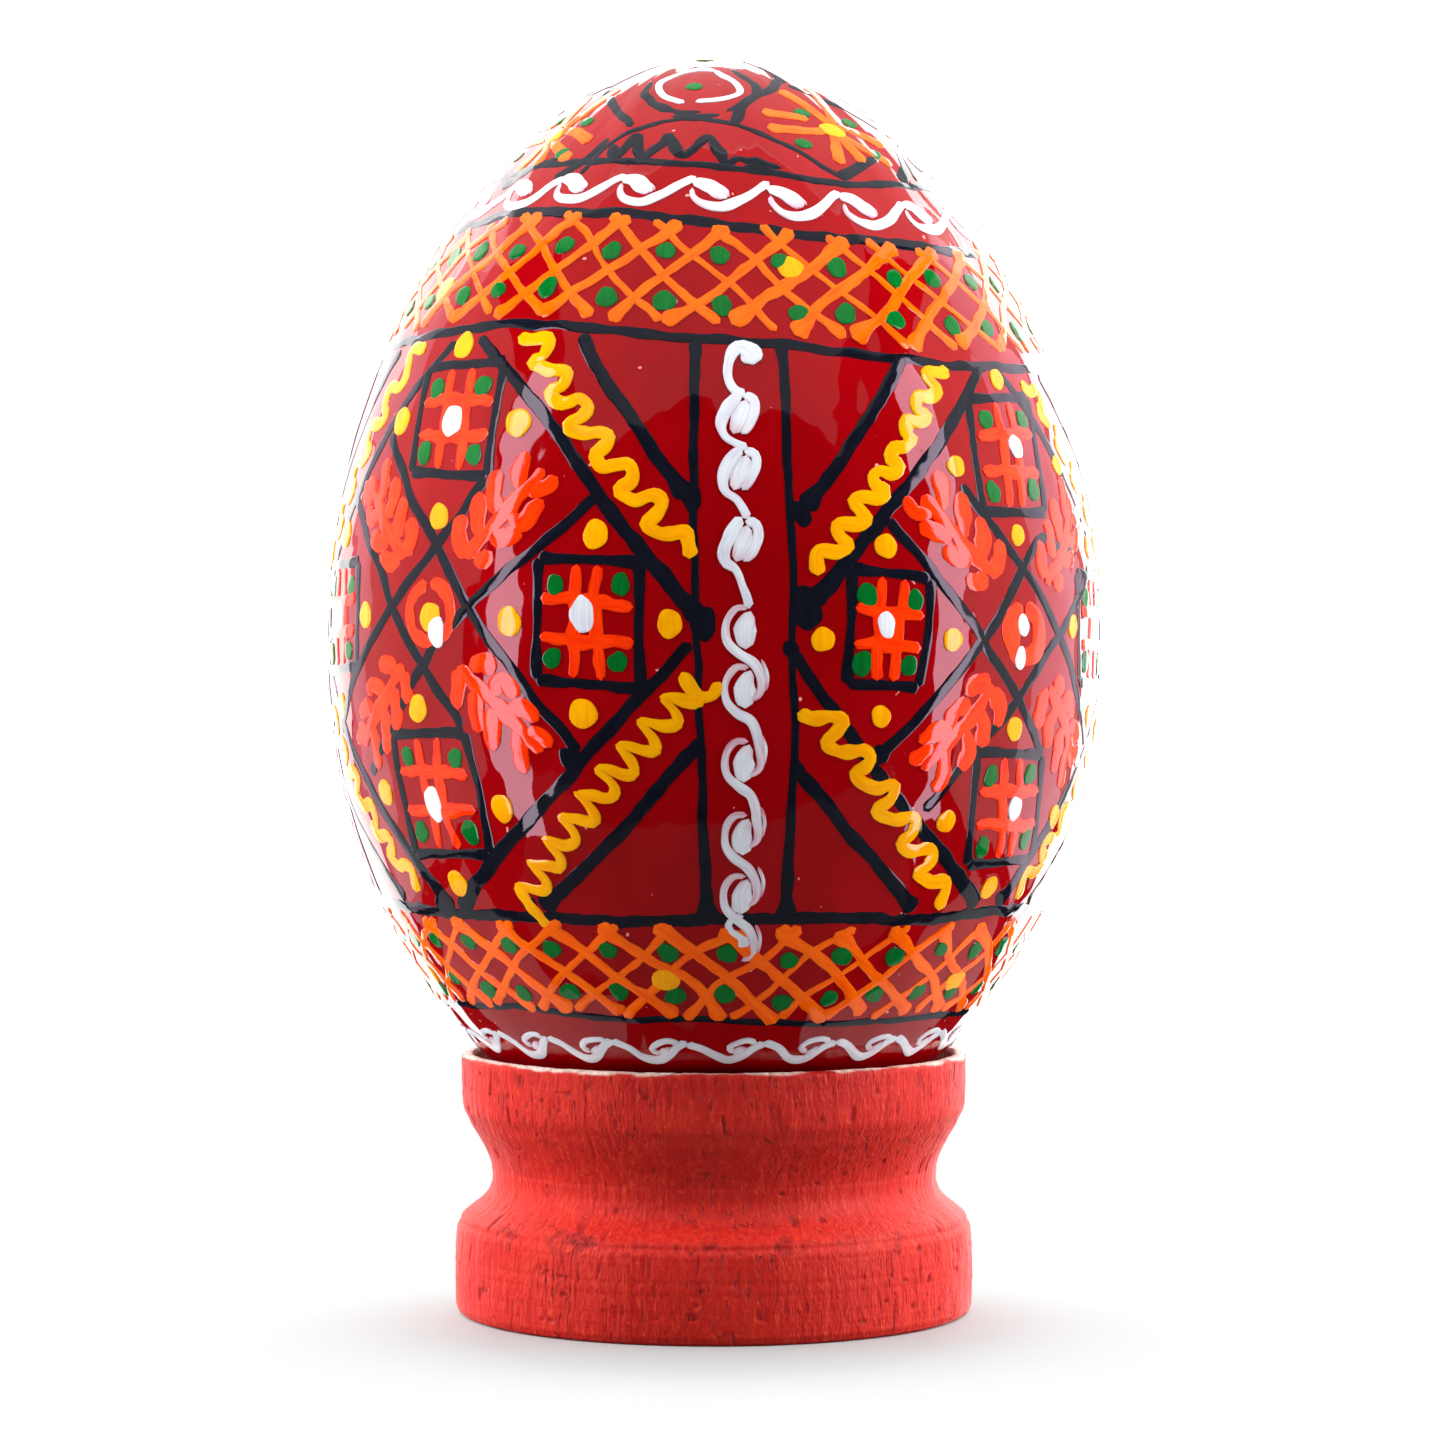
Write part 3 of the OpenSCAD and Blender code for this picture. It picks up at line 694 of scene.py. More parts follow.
for panel, turn in PANELS:
    for square in panel["squares"]:
        for u in (0.38, 0.62):
            path = [across_square(square, u + uprights.rng.normal(0, 0.02), v) for v in (0.04, 0.5, 0.96)]
            uprights.stroke(turned(path, turn), 0.9, 0.08, thin=(0.25, 0.15), uneven=0.2,
                            belly=[0.75, 1.1, 1.05, 0.9])
        for v in (0.34, 0.64):
            path = [across_square(square, u, v + levels.rng.normal(0, 0.02)) for u in (0.05, 0.5, 0.95)]
            levels.stroke(turned(path, turn), 0.95, 0.08, thin=(0.25, 0.15), uneven=0.2,
                          belly=[0.8, 1.05, 1.1, 0.85])
    centre = panel["centre"]
    for su, sv in ((-1, 1), (1, 1), (-1, -1), (1, -1)):
        for path, width in SPRIG:
            placed = [(centre[0] + su * a, centre[1] + sv * b) for a, b in path]
            sprigs.stroke(turned(jitter(sprigs.rng, placed, 0.35, 0.16), turn), width, 0.09, swell=(0, 0.1),
                          thin=(0.05, 0.2), uneven=0.18, belly=[0.8, 1.1, 1.1, 0.85])
    ring_lon, ring_z, ring_width = panel["ring"]
    loop = [(centre[0] + ring_lon * math.sin(t), centre[1] + ring_z * math.cos(t))
            for t in np.linspace(0, 6.1, 9)]
    rings.stroke(turned(loop, turn), ring_width, 0.08, uneven=0.2)
uprights.finish(VERMILION, "grid_uprights")
levels.finish(VERMILION, "grid_levels")
sprigs.finish(VERMILION, "leaf_sprigs")
rings.finish(VERMILION, "centre_rings")

# ---- yellow
zigzags = Coat("yellow_zigzag_paint", 51, 0.06)
yellow_dabs = Coat("yellow_dab_paint", 52, 0.08)


def stairs(a, b, waves, rng):
    """A wavy line that steps out and hooks down from a to b, like stairs with rounded corners."""
    dx, dz = (b[0] - a[0]) / waves, (b[1] - a[1]) / waves
    step = [(0.5, 0.12), (1.15, 0.05), (1.5, 0.22), (1.35, 0.58), (0.95, 0.82)]
    path = [(a[0] + dx * (i + u) * 0.94, a[1] + dz * (i + v)) for i in range(waves) for u, v in step]
    return jitter(rng, [a] + path[:-2] + [b], 0.2, 0.08)


def scallops(a, b, waves, rng):
    """A line of round bellies with a cusp between each, from a down to b."""
    dx, dz = (b[0] - a[0]) / waves, (b[1] - a[1]) / waves
    lines = []
    for i in range(waves):
        bag = [(0, 0), (-0.4, 0.4), (-0.78, 0.85), (-0.72, 1.22), (-0.2, 1.25), (0.45, 1.1), (1, 1)]
        path = [(a[0] + dx * (i + u), a[1] + dz * (i + v)) for u, v in bag]
        lines.append(jitter(rng, path, 0.15, 0.06))
    return lines


for panel, turn in PANELS:
    for a, b, waves in panel["stairs"]:
        path = stairs(a, b, waves, zigzags.rng)
        zigzags.stroke(turned(path, turn), 1.02, 0.09, swell=(0, 0.3), uneven=0.16, drift=0.03)
    for path in panel["tails"]:
        zigzags.stroke(turned(path, turn), 0.9, 0.09, uneven=0.14)
    for a, b, waves in panel["scallops"]:
        for path in scallops(a, b, waves, zigzags.rng):
            zigzags.stroke(turned(path, turn), 0.72, 0.09, uneven=0.16, drift=0.02,
                           belly=[0.6, 0.9, 1.3, 1.1, 0.6])
    for lon, z in panel["yellow"]:
        size = panel["yellow_size"] * yellow_dabs.rng.uniform(0.93, 1.07)
        yellow_dabs.dab(lon + turn, z, size, squash=1.08)
for count, z, first in ((5, 78.3, 13.8), (6, 27, -8.5)):
    for i in range(count):
        yellow_dabs.dab(first + i * 360 / count, z + yellow_dabs.rng.normal(0, 0.4), 2)
for k in range(CROWN_COUNT):
    yellow_dabs.dab(36.5 + k * CROWN_TURN, 90.1, 2.1, squash=0.8, turn=-0.4)
pole_ring = [(lon, EGG_TOP - 0.05) for lon in range(0, 361, 30)]
yellow_dabs.stroke(pole_ring, 2.2, 0.1, uneven=0.05, drift=0.0)
zigzags.finish(YELLOW, "yellow_zigzags")
yellow_dabs.finish(YELLOW, "yellow_dots")

# ---- green dabs
green = Coat("green_dab_paint", 61, 0.07)
for band, first in ((UPPER_BAND, 1.8), (LOWER_BAND, 2.5)):
    for row in (1, 3):
        share = row * 180 / band["count"] / band["lean"]
        for i in range(band["count"]):
            lon = first + 360 * i / band["count"] + green.rng.normal(0, 0.7)
            z = band["low"] + (band["high"] - band["low"]) * share + green.rng.normal(0, 0.2)
            green.dab(lon, z + float(tilt(lon, band["tilt"])), green.rng.uniform(1.35, 1.65),
                      squash=green.rng.uniform(0.9, 1.15), turn=green.rng.uniform(-0.5, 0.5), uneven=0.07)
for panel, turn in PANELS:
    for square in panel["squares"]:
        for u, v in ((0.2, 0.2), (0.81, 0.2), (0.18, 0.82), (0.8, 0.82)):
            lon, z = across_square(square, u + green.rng.normal(0, 0.015), v + green.rng.normal(0, 0.015))
            green.dab(lon + turn, z, green.rng.uniform(1.35, 1.65), squash=1.12, uneven=0.07)
for k in range(CROWN_COUNT):
    for lon, z in ((29.6, 91.5), (46.9, 91), (24.2, 88.8), (47, 88.4), (-8, 93.6)):
        green.dab(lon + k * CROWN_TURN, z, 1.35, squash=0.8)
    green.dab(-11 + k * CROWN_TURN, EGG_TOP - 0.45, 1.4)
green.finish(GREEN, "green_dots")

# ---- white scrolls
upper_scroll = Coat("upper_scroll_paint", 71, 0.05)
lower_scroll = Coat("lower_scroll_paint", 72, 0.05)
column_scroll = Coat("column_scroll_paint", 73, 0.06)
crown_white = Coat("crown_diamond_paint", 74, 0.05)
white_dabs = Coat("white_dab_paint", 75, 0.1)


def curl(coat, lon, z, shape, width, height, wobble=0.06, **brush):
    """A stroke whose points are given in mm right and up of a place, each off by about wobble mm."""
    path = []
    for x, y in shape:
        x, y = x + coat.rng.normal(0, wobble), y + coat.rng.normal(0, wobble)
        path.append((lon + math.degrees(x / float(egg_r(z))), z + y * float(np.cos(rise(z)))))
    coat.stroke(path, width, height, **brush)


def open_knot(lon, z, drop, wobble):
    """A knot as the painter began the column, with the next one drop mm below: two sides and a dab."""
    curl(column_scroll, lon, z,
         [(0, 0.15), (-0.8, -0.9), (-1.35, -2.1), (-1.15, -3.1), (-0.3, -3.75),
          (0.45, -drop - 0.1)], 0.8, 0.11, wobble, belly=[0.9, 1.3, 1.15, 0.7, 0.7, 0.9])
    curl(column_scroll, lon, z, [(0.2, -0.1), (0.95, -0.35), (1.05, -1.3), (0.55, -2.4), (0.05, -3)],
         0.72, 0.1, wobble, belly=[1, 1, 1.1, 1.2, 0.7], thin=(0, 0.3))
    curl(column_scroll, lon, z, [(0.35, -0.4), (0, -1.6), (-0.5, -3)], 1.2, 0.09, wobble,
         belly=[0.6, 1.2, 0.55], thin=(0.2, 0.4))


def wound_knot(lon, z, drop, wobble):
    """A knot as the painter went on: a winding stroke that runs into the next, a dab and a hair line."""
    curl(column_scroll, lon, z,
         [(0.45, 0.05), (-0.5, 0), (-1.15, -1), (-1.1, -2.3), (-0.3, -3.2),
          (0.75, -4), (1.3, -drop - 0.9), (1.2, -drop - 1.9), (0.4, -drop - 2.35)],
         0.6, 0.1, wobble, belly=[0.6, 0.9, 0.85, 1, 1.2, 1.25, 1.1, 0.95, 0.7], thin=(0.6, 0.5))
    curl(column_scroll, lon, z, [(0.55, -0.2), (0.15, -1.4), (0.2, -2.9)], 1.35, 0.1, wobble,
         belly=[0.45, 1.2, 0.9], thin=(0.3, 0.1))
    curl(column_scroll, lon, z, [(1.35, -drop + 0.6), (1.75, -drop - 0.5), (1.6, -drop - 1.7)], 0.26, 0.06,
         wobble, thin=(0.9, 0.9))


WAVES = 22
UPPER_SCROLL_Z, UPPER_SCROLL_TILT, UPPER_SCROLL_START = 84.4, 1, -4
LOWER_SCROLL_Z, LOWER_SCROLL_START = 21.75, -22
for i in range(WAVES):
    lon = i * 360 / WAVES + UPPER_SCROLL_START
    z = UPPER_SCROLL_Z + float(tilt(lon, UPPER_SCROLL_TILT))
    p = TURN / WAVES * float(egg_r(z))
    curl(upper_scroll, lon, z,
         [(-0.15, 0.55), (-0.05, -0.2), (0.55, -0.95), (1.8, -1.25), (3, -0.8),
          (p - 0.9, 0.55), (p, 1.15)],
         0.72, 0.1, thin=(0.5, 0), belly=[0.45, 0.8, 1.15, 1.25, 1.1, 0.95, 1])
    curl(upper_scroll, lon, z, [(-0.25, 1.15), (0.8, 0.95), (1.6, 0.35), (2.35, -0.35)], 1.2, 0.1,
         thin=(0, 0.5), belly=[0.55, 1, 1.15, 0.8])
    curl(upper_scroll, lon, z, [(1.1, 0.95), (2, 0.55), (2.6, -0.2)], 0.4, 0.07, thin=(0.8, 0.8))

p = TURN / WAVES * float(egg_r(LOWER_SCROLL_Z))
for i in range(WAVES):
    lon, z = i * 360 / WAVES + LOWER_SCROLL_START, LOWER_SCROLL_Z
    curl(lower_scroll, lon, z,
         [(0, 0.85), (1.1, 0.25), (2.1, -0.7), (3, -1.1), (3.8, -0.75),
          (p - 0.75, 0.3), (p, 0.85)], 0.72, 0.1, belly=[1, 0.9, 0.9, 1.2, 1.1, 0.9, 1])
    curl(lower_scroll, lon, z,
         [(p - 0.5, 0.8), (p - 1.3, 1.05), (p - 2.2, 0.75), (p - 2.6, 0.15),
          (p - 2.1, -0.3)], 0.5, 0.09, thin=(0, 0.4))
    curl(lower_scroll, lon, z, [(p - 2.2, -0.35), (p - 1.6, -0.1), (p - 1.15, 0.35)], 0.75, 0.08,
         thin=(0.4, 0.7), belly=[0.6, 1, 0.7])

KNOTS = [69.4, 65.4, 60.4, 54.1, 49.9, 44.6, 39.3, 34.9, 30.6]
OPEN_KNOTS = 3
for k in range(4):
    lon = COLUMN + k * QUARTER
    wobble = 0.07 if k else 0.0
    curl(column_scroll, lon, KNOTS[0],
         [(1.05, 2.3), (0.75, 3.2), (0, 3.6), (-0.65, 2.7), (-0.85, 1.2),
          (-0.4, 0.3), (0.4, -0.1)],
         0.85, 0.11, wobble, swell=(0.5, 0), belly=[1.3, 1.5, 1.2, 0.8, 0.75, 0.8, 1])
    for i, (z, below) in enumerate(zip(KNOTS, KNOTS[1:])):
        knot = open_knot if i < OPEN_KNOTS else wound_knot
        knot(lon, z, z - below, wobble)
    curl(column_scroll, lon, KNOTS[-1], [(0.35, 1.6), (-0.6, 1.1), (-0.5, 0.3), (0.25, -0.2), (0.3, -1.1)],
         0.55, 0.1, wobble, swell=(0, 0.9))
upper_scroll.finish(WHITE, "upper_scroll")
lower_scroll.finish(WHITE, "lower_scroll")
column_scroll.finish(WHITE, "column_scrolls")

DIAMOND = [[(1, 95.3), (-12, 95.2), (-24, 94.2), (-19, 92.9), (-10, 92.1)],
           [(-6, 92.1), (8, 92.8), (9, 93.8), (1, 95.2)]]
for k in range(CROWN_COUNT):
    for path in DIAMOND:
        crown_white.stroke(turned(path, k * CROWN_TURN), 0.5, 0.1, uneven=0.15)
crown_white.finish(WHITE, "crown_diamonds")

SQUARES = 4  # a panel's first white dabs lie in its squares, and the others, smaller, in its centre
for panel, turn in PANELS:
    for i, (lon, z) in enumerate(panel["white"]):
        size = panel["white_size"] * (1 if i < SQUARES else 0.85)
        white_dabs.dab(lon + turn, z, size, 0.13, squash=1.32, turn=0.15)
white_dabs.finish(WHITE, "white_dots")

# ---- the wooden core
def bare_wood():
    """Pale close-grained wood, as the core and the stand's chipped edges show it."""
    n = Nodes("bare_wood")
    place = n.place()
    grain = n.noise(n.stretch(place, (900, 900, 55)), 1, 4)
    colour = n.mix(n.ramp(grain, 0.35, 0.7), srgb(226, 190, 140), srgb(186, 140, 92))
    n.set(Base_Color=colour, Roughness=0.65, Normal=n.bump(grain, 0.1 * MM, 0.3))
    return n.material


core = egg_mesh("wooden_core", 0.3, 96, 64, bare_wood())
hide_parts("wooden_egg")

# ---- the stand
stand_low, stand_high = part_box("ring_stand")
STAND_R = stand_high[0] / MM
STAND_TOP = stand_high[2] / MM
HOLE_R, LIP_R = 10, 18.6
SEAT_OUT_Z, SEAT_IN_Z = 19.2, 13.6
EDGE = 0.5  # mm that the rim is rounded over
# the outline of the turned side, as (height, radius) with the radius given from the frame's widest
SIDE = [(0, -0.1), (1.2, 0), (4.3, -0.02), (6.5, -0.16), (7.3, -0.42), (7.9, -1.05), (8.5, -1.85),
        (9.2, -2.5), (10, -2.85), (10.7, -2.87), (11.6, -2.75), (12.6, -2.35), (13.6, -1.8), (14.6, -1.2),
        (15.4, -0.8), (16.2, -0.6), (18, -0.52), (20.5, -0.5)]
GROOVES = [(7.05, 0.15, 0.24), (15.1, 0.07, 0.4)]  # height, depth and width of the lathe tool's marks


def stand_profile():
    """The stand's outline from the hole's foot outwards: rows of radius, height and weight of the texture."""
    curve = spline(SIDE, 12)
    bend = np.linspace(0, math.pi / 2, 8)
    rows = [(HOLE_R, 0, 0), (STAND_R - 6, 0, 0), (STAND_R - 0.6, 0.01, 0)]
    rows += [(STAND_R - 0.55 + 0.45 * math.sin(a), 0.42 - 0.42 * math.cos(a), 0.5) for a in bend]
    for z in np.arange(EDGE, STAND_TOP - EDGE, 0.1):
        grooves = sum(deep * math.exp(-(((z - at) / wide) ** 2)) for at, deep, wide in GROOVES)
        rows.append((STAND_R + np.interp(z, curve[:, 0], curve[:, 1]) - grooves, z, 1))
    rim = rows[-1][0] - EDGE
    rows += [(rim + EDGE * math.cos(a), STAND_TOP - EDGE + 0.45 * math.sin(a), 1) for a in bend[1:]]
    rows += [(r, STAND_TOP - 0.05, 0.8) for r in np.linspace(rim - 0.1, LIP_R + 0.25, 4)]
    rows += [(LIP_R + 0.08, STAND_TOP - 0.15, 0.6), (LIP_R, STAND_TOP - EDGE, 0.3),
             (LIP_R - 0.1, SEAT_OUT_Z - 0.2, 0), (HOLE_R + 0.4, SEAT_IN_Z, 0),
             (HOLE_R, SEAT_IN_Z - 0.5, 0)]
    return np.array(rows)


def value_noise(rng, across, down, cells_x, cells_y, octaves=4):
    """Smooth noise of about unit size that closes round in x. across runs 0 to 1, down 0 to 1."""
    total = np.zeros(across.shape)
    for o in range(octaves):
        nx, ny = cells_x * 2**o, cells_y * 2**o
        grid = rng.normal(0, 1, (ny + 2, nx))
        x, y = across * nx, down * ny
        ix, iy = np.floor(x).astype(int), np.floor(y).astype(int)
        fx, fy = x - ix, y - iy
        fx, fy = fx * fx * (3 - 2 * fx), fy * fy * (3 - 2 * fy)
        a, b = grid[iy, ix % nx], grid[iy, (ix + 1) % nx]
        c, d = grid[iy + 1, ix % nx], grid[iy + 1, (ix + 1) % nx]
        total += (a * (1 - fx) + b * fx + (c * (1 - fx) + d * fx - a * (1 - fx) - b * fx) * fy) * 0.55**o
    return total


def splits(rng, lon, z, count, z_low, z_high, long, wide, deep):
    """Short splits along the grain: how deep they cut at each place."""
    cut = np.zeros(lon.shape)
    columns = lon[0]
    for _ in range(count):
        centre, mid = rng.uniform(0, 360), rng.uniform(z_low, z_high)
        reach, width = long * rng.uniform(0.4, 1.4), wide * rng.uniform(0.6, 1.5)
        gap = (columns - centre + 180) % 360 - 180
        near = np.abs(gap) < width * 7
        if not near.any():
            continue
        rows = z[:, 0]
        span = np.clip(1 - ((rows - mid) / (reach / 2)) ** 2, 0, 1)[:, None]
        lean = rng.normal(0, 0.25)
        line = np.exp(-((gap[near][None, :] - lean * (rows[:, None] - mid)) / width) ** 2)
        cut[:, near] = np.maximum(cut[:, near], deep * rng.uniform(0.4, 1.2) * line * span**0.5)
    return cut


# the kinds of split: how many, lowest and highest, and how long, wide (in degrees) and deep
SPLITS = [(150, 16.8, 20.2, 1.5, 0.2, 0.1), (60, 11.5, 16.5, 1.2, 0.2, 0.08), (150, 0.8, 6.5, 1.5, 0.2, 0.1),
          (16, 1.5, 19, 1.3, 0.42, 0.18)]


def stand_mesh(lon_steps=900):
    """The turned stand, with its fibres, lumps, pits, torn grain and splits cut into the surface."""
    profile = stand_profile()
    lon = np.arange(lon_steps) * 360 / lon_steps
    grid_lon, grid_z = np.meshgrid(lon, profile[:, 1])
    radius, weight = profile[:, :1] + 0 * grid_lon, profile[:, 2:] + 0 * grid_lon
    rng = np.random.default_rng(90)
    x, y = grid_lon / 360, np.clip(grid_z / (STAND_TOP + 0.2), 0, 0.999)
    fibre = value_noise(rng, x, y, 170, 3, 3)
    lumps = value_noise(rng, x, y, 14, 4, 4)
    pits = np.clip(value_noise(rng, x, y, 150, 30, 2) - 1.45, 0, 1)
    turning = np.interp(grid_z, np.linspace(0, 20.5, 90), rng.normal(0, 1, 90))
    torn_zone = np.exp(-((grid_z - 7.5) / 1.6) ** 2) + 0.6 * np.exp(-((grid_z - 19) / 1.1) ** 2)
    torn = np.clip(value_noise(rng, x, y, 90, 14, 3) - 0.9, 0, 1.2) * torn_zone
    cut = np.max([splits(rng, grid_lon, grid_z, *kind) for kind in SPLITS], axis=0)
    push = 0.012 * fibre + 0.02 * lumps + 0.008 * turning - 0.09 * pits - 0.06 * torn - cut
    radius = radius + weight * np.clip(push, -0.4, 0.07)
    chip = np.clip(value_noise(rng, x, np.zeros_like(y), 34, 2, 4) - 0.5, 0, 1.6)
    near_top = np.clip((grid_z - (STAND_TOP - 1.3)) / 1.3, 0, 1)
    height = grid_z + weight * near_top * (-0.1 * chip - 0.03 * np.abs(fibre) - 0.25 * cut)
    a = np.radians(grid_lon)
    verts = np.stack([radius * np.sin(a), -radius * np.cos(a), height], -1).reshape(-1, 3) * MM
    faces = ring_faces(len(profile), lon_steps, closed=True)
    piece = new_piece("stand_wood", verts.tolist(), faces, stand_material(), "stand")
    # the rim's top is marked pale: wood rubbed free of stain, and also a painted highlight on the upward face
    wear_and_highlight_edge = value_noise(rng, x, y, 60, 6, 4) * 0.25 + value_noise(rng, x, np.zeros_like(y), 12, 2, 3) * 0.3
    bare_and_highlit = np.clip((grid_z - (STAND_TOP - 0.2) + 0.22 * wear_and_highlight_edge) / 0.14, 0, 1) * np.clip(weight * 2, 0, 1)
    add_attribute(piece, "bare_and_highlit", "FLOAT", bare_and_highlit)
    add_attribute(piece, "cut", "FLOAT", np.clip((cut + 0.14 * pits + 0.12 * torn) * 7, 0, 1) * weight)
    return piece


def stand_material():
    """Wood stained a matte red, with fibres and dark slits; along the rim's top the stain is rubbed off to
    pale wood, which is also drawn whiter than the core's wood as a painted highlight on that upward face.
    """
    n = Nodes("stained_wood")
    place = n.place()
    bare_and_highlit, cut = n.attribute("bare_and_highlit"), n.attribute("cut")
    fibre = n.noise(n.stretch(place, (1900, 1900, 260)), 1, 4)
    slit = n.ramp(n.noise(n.stretch(place, (2500, 2500, 520)), 1, 2), 0.59, 0.66)
    slit = n.times(slit, n.ramp(n.noise(place, 190, 3), 0.47, 0.6))
    torn = n.noise(n.stretch(place, (3600, 3600, 1700)), 1, 3)
    cloud = n.noise(place, 110, 3)
    red = n.mix(n.ramp(cloud, 0.35, 0.68), srgb(172, 14, 10), srgb(184, 24, 14))
    red = n.mix(n.times(n.ramp(fibre, 0.45, 0.72), 0.4), red, srgb(208, 52, 22))
    red = n.mix(n.times(n.ramp(torn, 0.56, 0.74), 0.35), red, srgb(224, 86, 42))
    red = n.mix(n.times(n.ramp(torn, 0.46, 0.3), 0.25), red, srgb(146, 4, 10))
    red = n.mix(n.times(n.math("MAXIMUM", cut, slit), 0.65), red, srgb(104, 4, 10))
    # the rim's pale colour, whiter than the core's wood: rubbed-off wood plus a painted highlight on the
    # rim's top
    wood = n.mix(n.ramp(fibre, 0.35, 0.65), srgb(236, 218, 208), srgb(214, 176, 160))
    wood = n.mix(n.times(n.ramp(torn, 0.5, 0.7), 0.5), wood, srgb(170, 110, 96))
    n.set(Base_Color=n.mix(bare_and_highlit, red, wood), Roughness=n.ramp(cloud, 0.3, 0.7, 0.5, 0.62))
    height = n.plus(n.times(fibre, 0.7), n.times(torn, 0.6))
    height = n.math("SUBTRACT", height, n.times(slit, 0.9))
    n.set(Normal=n.bump(height, 0.26 * MM, 0.6), Specular_IOR_Level=0.27, Specular_Tint=(1, 0.92, 0.86, 1))
    return n.material


stand = stand_mesh()
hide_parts("ring_stand")


# ---- the photographer's table, lights and camera
NO_LIGHT = (0, 0, 0, 1)
FLOOR_SEEN, FLOOR_BOUNCE = (0.65, 0.7, 0.71, 1), (0.5, 0.5, 0.5, 1)
FLOOR_ACROSS, FLOOR_DEEP = 0.9, 0.5     # half its size
FLOOR_FADE = (0.16, 0.4)                # distances over which it turns from lit floor to plain white
SHADOW_CENTRE = (0, -16 * MM, 0)        # the camera sees shade only near this place, just before the stand
SHADOW_FADE = (16 * MM, 34 * MM)


def floor_material():
    """Pale floor that glows plain white away from the stand, for the camera only."""
    n = Nodes("floor")
    tone = n.ramp(n.noise(n.place(), 9, 2), 0.3, 0.7, 0.97, 1)
    seen = n.add("LightPath").outputs["Is Camera Ray"]
    shade = n.mix(seen, FLOOR_BOUNCE, FLOOR_SEEN)
    away = n.add("VectorMath", {0: n.place()}, operation="LENGTH").outputs["Value"]
    aside = n.add("VectorMath", {0: n.place(), 1: SHADOW_CENTRE}, operation="DISTANCE").outputs["Value"]
    glow = n.math("MAXIMUM", n.ramp(away, *FLOOR_FADE), n.times(seen, n.ramp(aside, *SHADOW_FADE)))
    n.set(Base_Color=n.mix(tone, NO_LIGHT, n.mix(glow, shade, NO_LIGHT)), Roughness=0.7)
    n.set(Emission_Color=(1, 1, 1, 1), Emission_Strength=n.times(glow, seen), Specular_IOR_Level=0.0)
    return n.material


def floor_sheet():
    corners = [(x * FLOOR_ACROSS, y * FLOOR_DEEP, 0) for x, y in ((-1, -1), (1, -1), (1, 1), (-1, 1))]
    mesh = bpy.data.meshes.new("floor")
    mesh.from_pydata(corners, [], [[0, 1, 2, 3]])
    mesh.materials.append(floor_material())
    sheet = bpy.data.objects.new("floor", mesh)
    bpy.context.scene.collection.objects.link(sheet)
    sheet.visible_glossy = False
    return sheet


floor = floor_sheet()
LIT_POINT = Vector((0, 0, 55 * MM))
LAMP_DISTANCE = 0.9


def softbox(name, azimuth, elevation, across, high, radiance, shines=True, reflects=True, tint=(1, 1, 1)):
    """A soft light at an azimuth (0 in front, positive to the right) and elevation, as seen from the egg.

    across and high are the angles it spans. It shines on matt colour, reflects in the varnish, or both.
    """
    light = bpy.data.lights.new(name, "AREA")
    light.shape = "RECTANGLE"
    light.size = 2 * LAMP_DISTANCE * math.tan(math.radians(across / 2))
    light.size_y = 2 * LAMP_DISTANCE * math.tan(math.radians(high / 2))
    light.energy = radiance * math.pi * light.size * light.size_y
    light.color = tint
    lamp = bpy.data.objects.new(name, light)
    a, e = math.radians(azimuth), math.radians(elevation)
    way = Vector((math.cos(e) * math.sin(a), -math.cos(e) * math.cos(a), math.sin(e)))
    x = Vector((math.cos(a), math.sin(a), 0))
    turn = Matrix((x, way.cross(x), way)).transposed().to_4x4()
    lamp.matrix_world = Matrix.Translation(LIT_POINT + way * LAMP_DISTANCE) @ turn
    lamp.visible_diffuse = shines
    lamp.visible_glossy = reflects
    bpy.context.scene.collection.objects.link(lamp)
    return lamp


PINKISH = (1, 0.78, 0.98)
CEILING_EDGE = 37  # the elevation where the dim ceiling's reflection starts
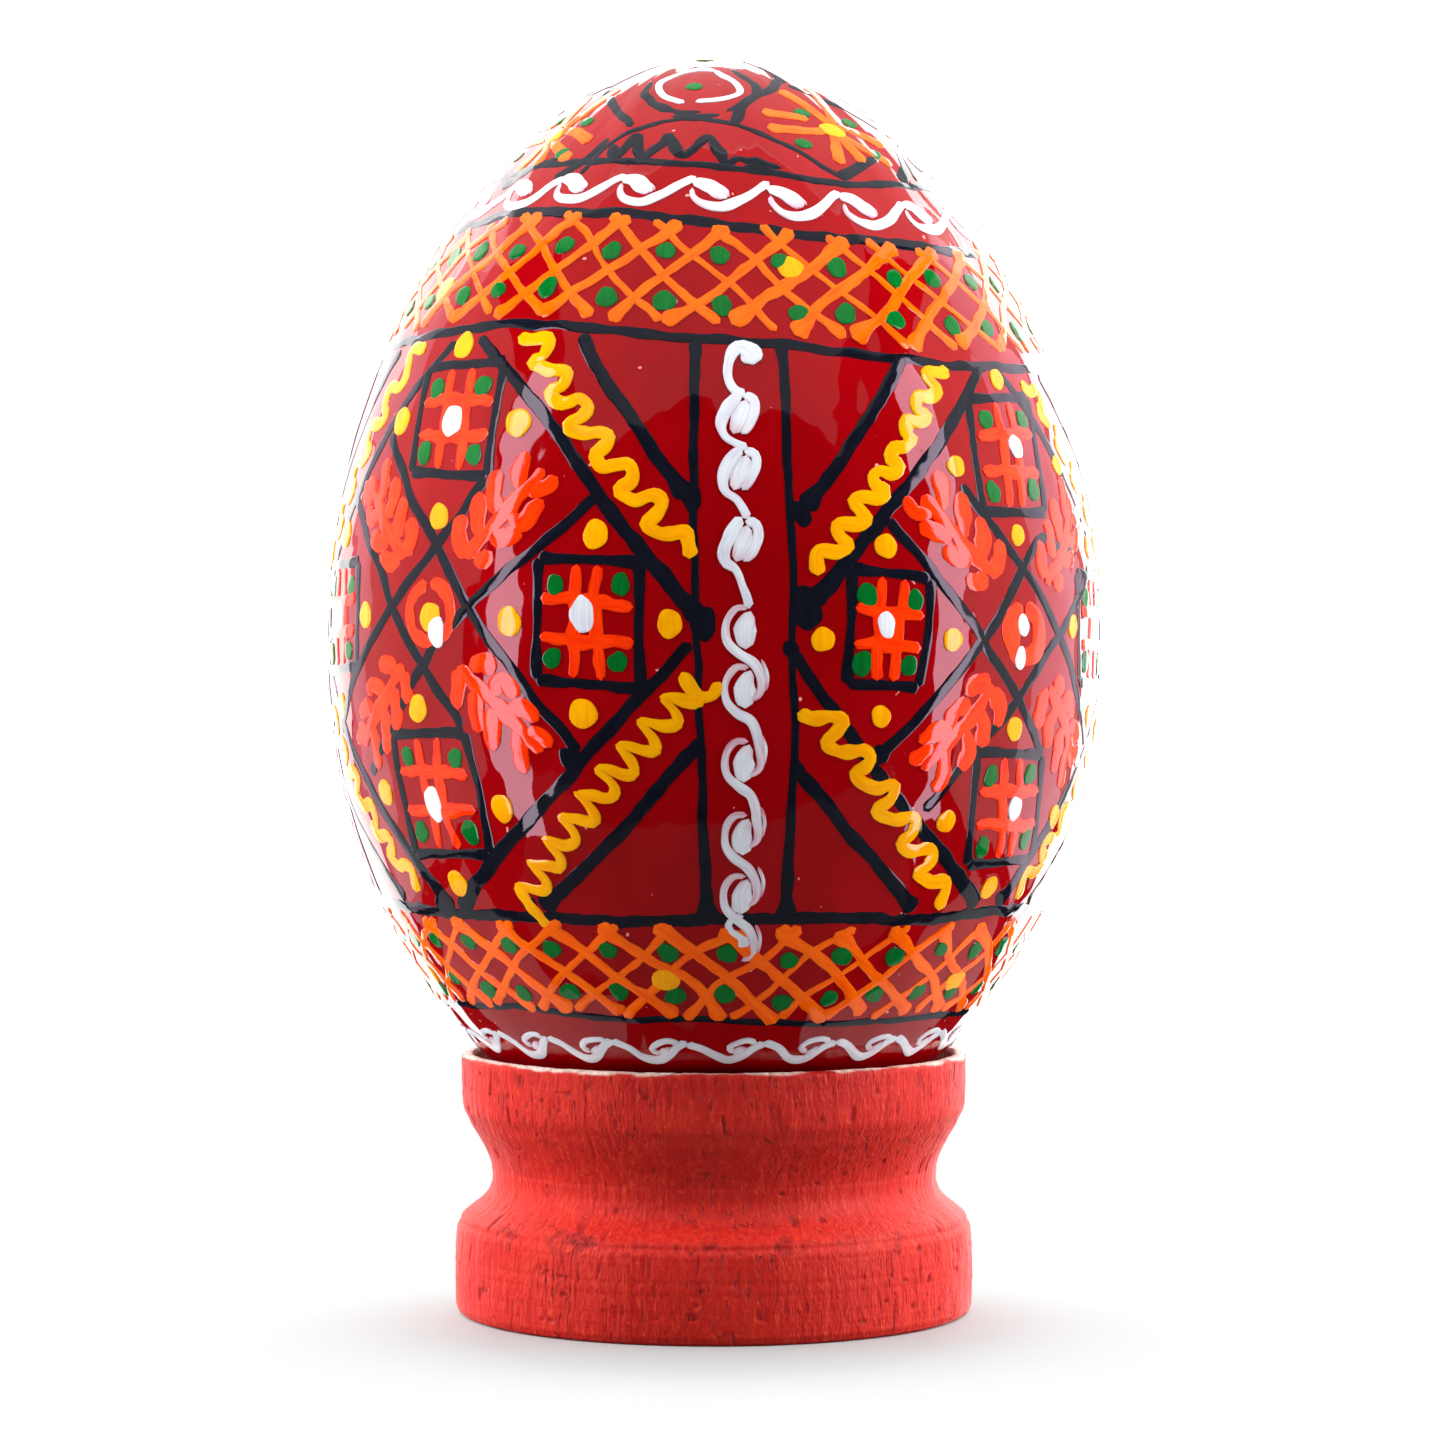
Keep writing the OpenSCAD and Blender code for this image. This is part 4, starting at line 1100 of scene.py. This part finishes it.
# name, azimuth, elevation, degrees across, degrees high, radiance
softbox("strip_left", -63, 4, 11, 66, 6, shines=False, tint=PINKISH)
softbox("strip_right", 72, 4, 11, 66, 6, shines=False, tint=PINKISH)
softbox("side_left", -103, 8, 62, 64, 0.62)
softbox("side_right", 108, 8, 60, 64, 0.68)
softbox("glow_left", -128, 8, 16, 64, 0.8, shines=False, tint=PINKISH)
softbox("glow_right", 120, 8, 26, 64, 1.3, shines=False, tint=PINKISH)
softbox("floor_left", -116, -50, 40, 44, 0.5, shines=False)
softbox("floor_right", 118, -50, 36, 44, 0.6, shines=False)
softbox("floor_front", 0, -55, 110, 44, 0.1, shines=False)
softbox("ceiling", 0, CEILING_EDGE + 27, 80, 54, 0.42, shines=False)
softbox("overhead", 180, 62, 90, 56, 0.8, shines=False)
softbox("back_left", -158, 8, 44, 64, 3.2, shines=False)
softbox("back_right", 160, 8, 44, 64, 4.6, shines=False)
softbox("fill_front", 0, 30, 70, 44, 0.12, reflects=False)
softbox("fill_top", 0, 84, 74, 66, 4, reflects=False)
object_only = [softbox("fill_left", -95, 15, 56, 60, 8.4, reflects=False),
               softbox("fill_right", 95, 15, 56, 60, 8.2, reflects=False)]
softbox("fill_back", 180, 35, 70, 50, 1.1, reflects=False)

# the floor stays out of the side fills, so that it keeps a soft shadow all round the stand
lit = bpy.data.collections.new("lit_by_side_fills")
for piece in bpy.context.scene.objects:
    if piece.type == "MESH" and piece is not floor:
        lit.objects.link(piece)
for lamp in object_only:
    lamp.light_linking.receiver_collection = lit

ROOM_LIGHT = 0.02  # the room's own light, which the camera sees as white
world = bpy.data.worlds.new("studio")
bpy.context.scene.world = world
world.use_nodes = True
room = world.node_tree.nodes["Background"]
room.inputs["Color"].default_value = (1, 1, 1, 1)
seen = world.node_tree.nodes.new("ShaderNodeLightPath")
strength = world.node_tree.nodes.new("ShaderNodeMapRange")
strength.inputs["To Min"].default_value = ROOM_LIGHT
strength.inputs["To Max"].default_value = 1.0
world.node_tree.links.new(seen.outputs["Is Camera Ray"], strength.inputs["Value"])
world.node_tree.links.new(strength.outputs[0], room.inputs["Strength"])

CAMERA_PLACE = (0.66 * MM, -340 * MM, 50 * MM)
CAMERA_DIP = 0.74  # degrees that the camera looks down
camera = bpy.data.cameras.new("camera")
camera.sensor_width = 36
camera.lens = 108.8
camera_at = bpy.data.objects.new("camera", camera)
camera_at.location = CAMERA_PLACE
camera_at.rotation_euler = (math.radians(90 - CAMERA_DIP), 0, 0)
bpy.context.scene.collection.objects.link(camera_at)
bpy.context.scene.camera = camera_at
bpy.context.scene.view_settings.view_transform = "Standard"
